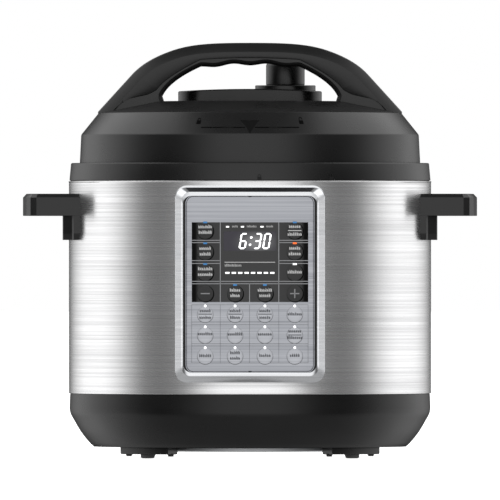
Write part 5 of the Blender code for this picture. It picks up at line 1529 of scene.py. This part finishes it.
def makeKey(node):
    # a domed cap of nested teardrop loops, with the strokes of its label lying on the dome
    low, high = spanOf(node)
    middle = (low + high) / 2
    radius = keyShape["radius"]
    row = int(node.split("_")[1])
    dark = row < 5
    front = panelFront
    lift = 0.08 * mm if dark else 0.03 * mm

    def levelAt(x, z):
        # dome: lift + dome (1 - (distance / radius)^4), towards -Y
        far = np.hypot(x - middle[0], z - middle[2]) / radius
        return front - lift - keyShape["dome"] * np.clip(1 - far ** 4, 0, 1)

    rim = keyOutline(node)
    centre = middle[[0, 2]]
    shares = np.array([0.0, 0.25, 0.5, 0.7, 0.84, 0.93, 1.0])
    rise = keyShape["dome"] * (1 - shares ** 4)
    loops = [placed(rim, front + 0.6 * mm, "Y")]
    for share, up in zip(shares[::-1], rise[::-1]):
        loops.append(placed(centre + share * (rim - centre), front - lift - up, "Y"))
    points = np.array(loops)
    cap = meshPiece("cap", points, [gridFaces(len(points), 72), np.arange(72)[None]],
                    coats["keyDark" if dark else "keySilver"])
    parts = [cap]
    ledZ = middle[2] + keyShape["lampHeight"]
    if dark and node not in plusMinus:
        outline = roundedBox(middle[0] - 1.45 * mm, middle[0] + 1.45 * mm, ledZ - 0.6 * mm, ledZ + 0.65 * mm,
                             0.25 * mm, 4)
        coat = coats[ledCoats.get(node, "ledBlue")]
    elif not dark:
        t = np.arange(18) * tau / 18
        outline = np.stack([middle[0] + 0.95 * mm * np.cos(t), ledZ + 0.95 * mm * np.sin(t)], -1)
        coat = coats["ledWhite"]
    else:
        outline = None
    if outline is not None:
        face = front - lift - 0.34 * mm
        loops = [placed(outline, face + 0.6 * mm, "Y"), placed(outline, face, "Y")]
        lights.append(lofted("led", loops, coat))
    blocks = []
    height = keyShape["wordHeight"][int(dark)]
    for k, (up, lowX, highX) in enumerate(labels.get(node, [])):
        seed = row * 50 + int(node.split("_")[2]) * 7 + k
        for box in strokes(middle[0] + lowX * mm, middle[0] + highX * mm, middle[2] + up * mm, height, seed):
            far = np.hypot(np.abs(box[:2] - middle[0]).max(), np.abs(box[2:] - middle[2]).max())
            # what reaches past the cap is printed on the panel
            chosen = blocks if far < radius - 0.1 * mm else (printedDark if dark else printedSilver)
            chosen.extend(strokeLoops(box, levelAt, 0.03 * mm))
    bars = []
    if node in underlined:
        bars.append((-5.0, 5.0, 0.25, 0.28))
    if node in plusMinus:
        bars.append((-3.4, 3.4, 0.0, 0.42))
    if node == "key_4_4":
        bars.append((-0.42, 0.42, 0.0, 3.4))
    for lowX, highX, up, half in bars:
        x = np.linspace(lowX, highX, 9) * mm + middle[0]
        z = np.linspace(-half, half, 9 if half > 1 else 2) * mm + middle[2] + up * mm
        for a, b in zip(x[:-1], x[1:]):
            for c, d in zip(z[:-1], z[1:]):
                flat = np.array([(a, c), (b, c), (b, d), (a, d)])
                y = levelAt(flat[:, 0], flat[:, 1])
                blocks.append(np.stack([np.stack([flat[:, 0], y + 0.05 * mm, flat[:, 1]], -1),
                                        np.stack([flat[:, 0], y - 0.03 * mm, flat[:, 1]], -1)]))
    if blocks:
        ink = "inkGrey" if node in plusMinus else "inkLight" if dark else "inkDark"
        parts.append(barsMesh("label", blocks, coats[ink]))
    slot = "dark_key" if dark else "silver_key"
    fit(joined("cap_" + node[4:], parts), node, slot, node)


# painted shadow lines as (shift in x, shift in z, growth) in mm
keyGapShadows = {"gap_shadows_dark": (0.35, -0.35, 0.35), "gap_shadows_silver": (0.0, -0.22, 0.12)}


def makeKeyGapShadows():
    # a painted shadow line under each key, widest at its lower side: a shifted disc pierced by the key's hole
    t = np.arange(48) * tau / 48
    for name, (shiftX, shiftZ, grow) in keyGapShadows.items():
        dark = name == "gap_shadows_dark"
        rings = []
        for node in keyNodes:
            if (int(node.split("_")[1]) < 5) != dark:
                continue
            low, high = spanOf(node)
            middle = (low + high) / 2
            r = keyShape["radius"] + grow * mm
            outline = np.stack([middle[0] + shiftX * mm + r * np.cos(t),
                                middle[2] + shiftZ * mm + r * np.sin(t)], -1)
            level = panelFront - (0.075 if dark else 0.02) * mm
            loops = [placed(outline, panelFront + 0.1 * mm, "Y"), placed(outline, level, "Y")]
            disc = lofted("gap", loops, coats["markAndShadow" if dark else "gapShadowSilver"])
            rings.append(pierced(disc, keyHoles([node])))
        fit(joined(name, rings), "housing", "black_plastic" if dark else "silver_panel")


keyNodes = sorted(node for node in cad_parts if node.startswith("key_"))
lights, printedDark, printedSilver = [], [], []
makeBezel()
makePanel()
makeDisplay()
makeFieldPrint()
for node in keyNodes:
    makeKey(node)
makeKeyGapShadows()
fit(joined("key_lights", lights), "housing", "dark_window")
fit(barsMesh("word_ends_dark", printedDark, coats["inkLight"]), "housing", "silver_panel")
fit(barsMesh("word_ends_silver", printedSilver, coats["inkDark"]), "housing", "dark_key")
print("keypad made")


sideHandle = {
    "topBevel": 2.7 * mm,
    "thickness": 16.5 * mm,
    # half of the shelf's plan, from its front corner to its outer end, as (from the end, from the front)
    "shelf": [(10.5, 0.0), (6.0, 3.15), (2.9, 8.6), (0.0, 40.0)],
    # half of the pad's plan, as (from the wall's edge, from the front)
    "pad": [(4.9, 0.0), (6.2, 1.8), (12.7, 5.2), (13.3, 9.0)],
    "padBevel": 4.8 * mm,
}


def handlePlan(stations, halfWidth, side, pull=0.0):
    # closed counterclockwise plan: a front half and its mirror image, both pulled in by a distance, and an
    # arc just inside the steel wall
    front = np.array(stations)
    core = np.array([(0.0, halfWidth), (0.0, -halfWidth)])
    line = np.concatenate([front, front[::-1] * [1, -1], core])[::-1]
    line = inset(line, pull)[::-1][:-2] if pull else line[::-1][:-2]
    inside = bodyRadius - 0.9 * mm
    a = math.asin((halfWidth - pull) / inside)
    turn = np.linspace(-a, a, 18)
    arc = np.stack([-inside * np.cos(turn), -inside * np.sin(turn)], -1)
    plan = np.concatenate([line, arc])
    if side > 0:
        plan = (plan * [-1, 1])[::-1]
    area = np.sum(plan[:, 0] * np.roll(plan[:, 1], -1) - np.roll(plan[:, 0], -1) * plan[:, 1])
    return (plan if area > 0 else plan[::-1]) + [0, axisY]


def makeSideHandle(name, side):
    # shelf and pad are each a plan lofted through levels, pulled in where their edges are bevelled
    low, high = spanOf(name)
    halfWidth = (high[1] - low[1]) / 2
    end = max(abs(low[0]), abs(high[0]))
    edge = math.sqrt(bodyRadius ** 2 - halfWidth ** 2)

    def shelf(pull, z):
        stations = [(-end + out * mm, -halfWidth + back * mm) for out, back in sideHandle["shelf"]]
        return placed(handlePlan(stations, halfWidth, side, pull), z, "Z")

    def pad(pull, z):
        # the pad's bevel is on its front and back only
        half = halfWidth - pull
        stations = [(-edge - out * mm, -half + back * mm) for out, back in sideHandle["pad"]]
        return placed(handlePlan(stations, half, side), z, "Z")

    bevel = sideHandle["topBevel"]
    under = high[2] - sideHandle["thickness"]
    top = high[2]
    loops = [shelf(3.0 * mm, top - 4.0 * mm), shelf(3.0 * mm, under), shelf(0.4 * mm, under),
             shelf(0.1 * mm, under + 0.1 * mm), shelf(0, under + 0.4 * mm), shelf(0, top - bevel - 0.25 * mm),
             shelf(0.12 * mm, top - bevel + 0.05 * mm), shelf(bevel - 0.3 * mm, top - 0.25 * mm),
             shelf(bevel + 0.2 * mm, top)]
    shelfPiece = lofted("shelf", np.array(loops), coats["handle"], smoothAngle=18)
    bevel = sideHandle["padBevel"]
    loops = [pad(3.2 * mm, low[2]), pad(2.8 * mm, low[2] + 0.2 * mm),
             pad(0.3 * mm, low[2] + bevel - 0.3 * mm),
             pad(0.12 * mm, low[2] + bevel + 0.2 * mm), pad(0.12 * mm, under + 0.2 * mm),
             pad(1.0 * mm, under + 0.3 * mm), pad(1.0 * mm, top - 5 * mm)]
    padPiece = lofted("pad", np.array(loops), coats["handle"], smoothAngle=18)
    word = "left" if side < 0 else "right"
    fit(joined(f"carry_handle_{word}", [shelfPiece, padPiece]), "housing", "black_plastic", name)


makeSideHandle("side_handle_left", -1)
makeSideHandle("side_handle_right", 1)
bracket = softened("collector_bracket", 0.6 * mm, coats["handle"], 2)
fit(bracket, "housing", "black_plastic", "collector_bracket")
collector = softened("condensation_collector", 0.5 * mm, coats["smoked"], 3)
fit(collector, "collector", "smoked_plastic", "condensation_collector")
print("fittings made")


pot = {"lip": 7.7 * mm, "wall": 0.8 * mm, "bend": 12 * mm, "fillLines": (0.25, 0.5, 0.75)}


def makePot():
    # turned profile of a straight pot with a flat lip, and three short level lines inside
    low, high = spanOf("inner_pot")
    wallOut = high[0] - pot["lip"]
    inside = wallOut - pot["wall"]
    floor = low[2] + 2.0 * mm
    lipUnder, bendRadius = high[2] - pot["wall"], pot["bend"]
    corners = [(0, low[2]), (wallOut, low[2]), (wallOut, lipUnder), (high[0], lipUnder),
               (high[0], high[2]), (inside, high[2]), (inside, floor), (0, floor)]
    radii = [bendRadius, 1.2 * mm, 0.35 * mm, 0.35 * mm, 1.2 * mm, bendRadius]
    pieces = [turned("cooking_pot", softCorners(corners, radii, 9), coats["bright"], count=220)]
    for k, share in enumerate(pot["fillLines"]):
        z = floor + (high[2] - floor) * share
        pieces.append(arcBlock(f"fillLine{k}", inside - 0.05 * mm, 0.16 * mm, 90, 14, z, z + 0.5 * mm,
                               0.03 * mm, coats["inkLine"]))
    fit(joined("cooking_pot", pieces), "inner_pot", "bright_steel", "inner_pot")


lock = {"lugLength": 5.5 * mm, "lugSweep": 25, "wall": 4.5 * mm, "sheet": 1.5 * mm}


def makeLockingPot():
    # turned wall with six bent lugs that point outwards
    low, high = spanOf("locking_pot")
    band = high[0] - lock["lugLength"]
    inside = band - lock["wall"]
    sheet = lock["sheet"]
    top = high[2]
    corners = [(8 * mm, low[2]), (inside + sheet, low[2]), (inside + sheet, top - 15 * mm),
               (band, top - 12 * mm), (band, top), (inside, top), (inside, low[2] + sheet),
               (8 * mm, low[2] + sheet)]
    profile = softCorners(corners, [3 * mm, 1 * mm, 1 * mm, 0.7 * mm, 0.7 * mm, 3 * mm])
    parts = [turned("lockWall", profile, coats["cast"], closed=True, count=200)]
    for k in range(6):
        parts.append(arcBlock(f"lockLug{k}", band + 2.2 * mm, 6.6 * mm, 60.0 * k - 90, lock["lugSweep"],
                              top - 2.7 * mm, top, 0.6 * mm, coats["cast"]))
    fit(joined("lock_ring", parts), "housing", "cast_aluminium", "locking_pot")


def makeInnerLid():
    # skirt, rounded shoulder and a dome z = rise (1 - (r / R)^2), with six inward lugs and a wire rack
    low, high = spanOf("inner_lid")
    skirt = high[0]
    start = low[2] + 12.2 * mm
    r = np.linspace(skirt - 6 * mm, 0, 40)
    share = r / (skirt - 6 * mm)
    rise = high[2] - start - 6.5 * mm
    dome = np.stack([r, start + 6.5 * mm + rise * (1 - share ** 2)], -1)
    outer = softCorners([(skirt, low[2]), (skirt, start), tuple(dome[0])], [2.5 * mm])
    upper = np.concatenate([outer[:-1], dome])
    lower = dome[::-1] - [0, 1 * mm]
    inside = skirt - 1 * mm
    inner = softCorners([tuple(lower[-1]), (inside, start - 0.5 * mm), (inside, low[2])], [2.5 * mm])
    profile = np.concatenate([upper, lower[:-1], inner])
    parts = [turned("domeSheet", profile, coats["spun"], count=200)]
    for k in range(6):
        parts.append(arcBlock(f"lidLug{k}", skirt - 3.7 * mm, 6.0 * mm, 60.0 * k - 90, lock["lugSweep"],
                              low[2], low[2] + 2.5 * mm, 0.6 * mm, coats["spun"]))
    rackLow, rackHigh = spanOf("sealing_ring_rack")
    hoopRadius = rackHigh[0] - 1.55 * mm
    hoop = [(hoopRadius + 1.3 * mm * math.cos(a), rackLow[2] + 1.3 * mm + 1.2 * mm * math.sin(a))
            for a in np.linspace(0, tau, 16, endpoint=False)]
    rackParts = [turned("rackHoop", hoop, coats["bright"], closed=True, count=160)]
    for k in range(6):
        a = math.radians(60 * k)
        centre = (hoopRadius * math.cos(a), axisY + hoopRadius * math.sin(a))
        foot = rackLow[2] + 1.2 * mm
        post = [(0, foot), (1.1 * mm, foot), (1.1 * mm, rackHigh[2]), (0, rackHigh[2])]
        rackParts.append(turned(f"rackPost{k}", post, coats["bright"], centre, 16))
    fit(joined("ring_rack", rackParts), "lid", "bright_steel", "sealing_ring_rack")
    fit(joined("lid_dome", parts), "lid", "bright_steel", "inner_lid")


seal = {"width": 9 * mm, "back": 3 * mm, "lip": 2.0 * mm}


def makeSeal():
    # turned channel that opens inwards
    low, high = spanOf("sealing_ring")
    out = high[0]
    inside, back = out - seal["width"], out - seal["back"]
    lipLow, lipHigh = low[2] + seal["lip"], high[2] - seal["lip"]
    corners = [(inside, high[2]), (out, high[2]), (out, low[2]), (inside, low[2]), (inside, lipLow),
               (back, lipLow), (back, lipHigh), (inside, lipHigh), (inside, high[2] - 0.1 * mm)]
    profile = softCorners(corners, [1.6 * mm, 1.6 * mm, 0.8 * mm, 0.8 * mm, 1.2 * mm, 1.2 * mm, 0.8 * mm])
    fit(turned("seal_ring", profile, coats["silicone"], closed=True, count=200), "seal", "clear_silicone",
        "sealing_ring")


heater = {
    "bore": 18.0 * mm,
    "grooves": (34, 48, 62, 76),
    "thickness": 11.7 * mm,
    "legShare": 0.62,
    "legWidth": 4 * mm,
}


def makeHeater():
    # turned plate with shallow rings cut in its top and one round leg, and the sensor's cap in its bore
    low, high = spanOf("heating_plate")
    out = high[0]
    rings = [(heater["bore"], high[2])]
    for gapShade in heater["grooves"]:
        r = gapShade * mm
        rings += [(r - 0.8 * mm, high[2]), (r, high[2] - 0.5 * mm), (r + 0.8 * mm, high[2])]
    under = high[2] - heater["thickness"]
    leg = heater["legShare"] * out
    corners = rings + [(out, high[2]), (out, under), (leg, under), (leg, low[2]),
                       (leg - heater["legWidth"], low[2]), (leg - heater["legWidth"], under),
                       (heater["bore"], under)]
    profile = softCorners(corners, [0.1 * mm] * 12 + [2.5 * mm, 1 * mm] + [0.3 * mm] * 4)
    fit(turned("heater_plate", profile, coats["cast"], closed=True, count=160), "housing", "cast_aluminium",
        "heating_plate")
    low, high = spanOf("sensor_plunger")
    radius = high[0]
    corners = [(0, high[2]), (radius, high[2]), (radius, low[2]), (radius - 1.2 * mm, low[2]),
               (radius - 1.2 * mm, high[2] - 1.2 * mm), (0, high[2] - 1.2 * mm)]
    fit(turned("sensor_cap", softCorners(corners, [1.4 * mm, 0.3 * mm, 0.3 * mm, 0.6 * mm]), coats["spun"],
               count=80), "sensor", "bright_steel", "sensor_plunger")


spring = {"wire": 0.9 * mm, "turns": 5.5}


def makeSpring():
    # helix: (R + w cos v) along u round the axis, height growing with u plus w sin v
    low, high = spanOf("sensor_spring")
    wire = spring["wire"]
    u = np.linspace(0, spring["turns"] * tau, 180)[:, None]
    v = np.arange(12) * tau / 12
    r = (high[0] - low[0]) / 2 - wire + wire * np.cos(v)
    rise = (high[2] - low[2] - 2 * wire) * u / u.max()
    points = np.stack([r * np.cos(u), axisY + r * np.sin(u), low[2] + wire + rise + wire * np.sin(v)], -1)
    last = (len(points) - 1) * 12
    coil = meshPiece("sensor_coil", points, [gridFaces(len(points), 12), np.arange(12)[::-1][None],
                                             last + np.arange(12)[None]], coats["spring"])
    fit(coil, "housing", "spring_steel", "sensor_spring")
    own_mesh(coil)


makePot()
makeLockingPot()
makeInnerLid()
makeSeal()
makeHeater()
makeSpring()
print("inside made")


# frame parts that stay, with new materials
keptCoats = {
    "exhaust_pipe": "bright", "lid_nut": "bright", "anti_block_shield": "spun", "valve_weight": "bright",
    "float_valve_cap": "floatRed", "power_board": "board", "display_board": "board",
}
for node, coat in keptCoats.items():
    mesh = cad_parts[node].data
    mesh.materials.clear()
    mesh.materials.append(coats[coat])
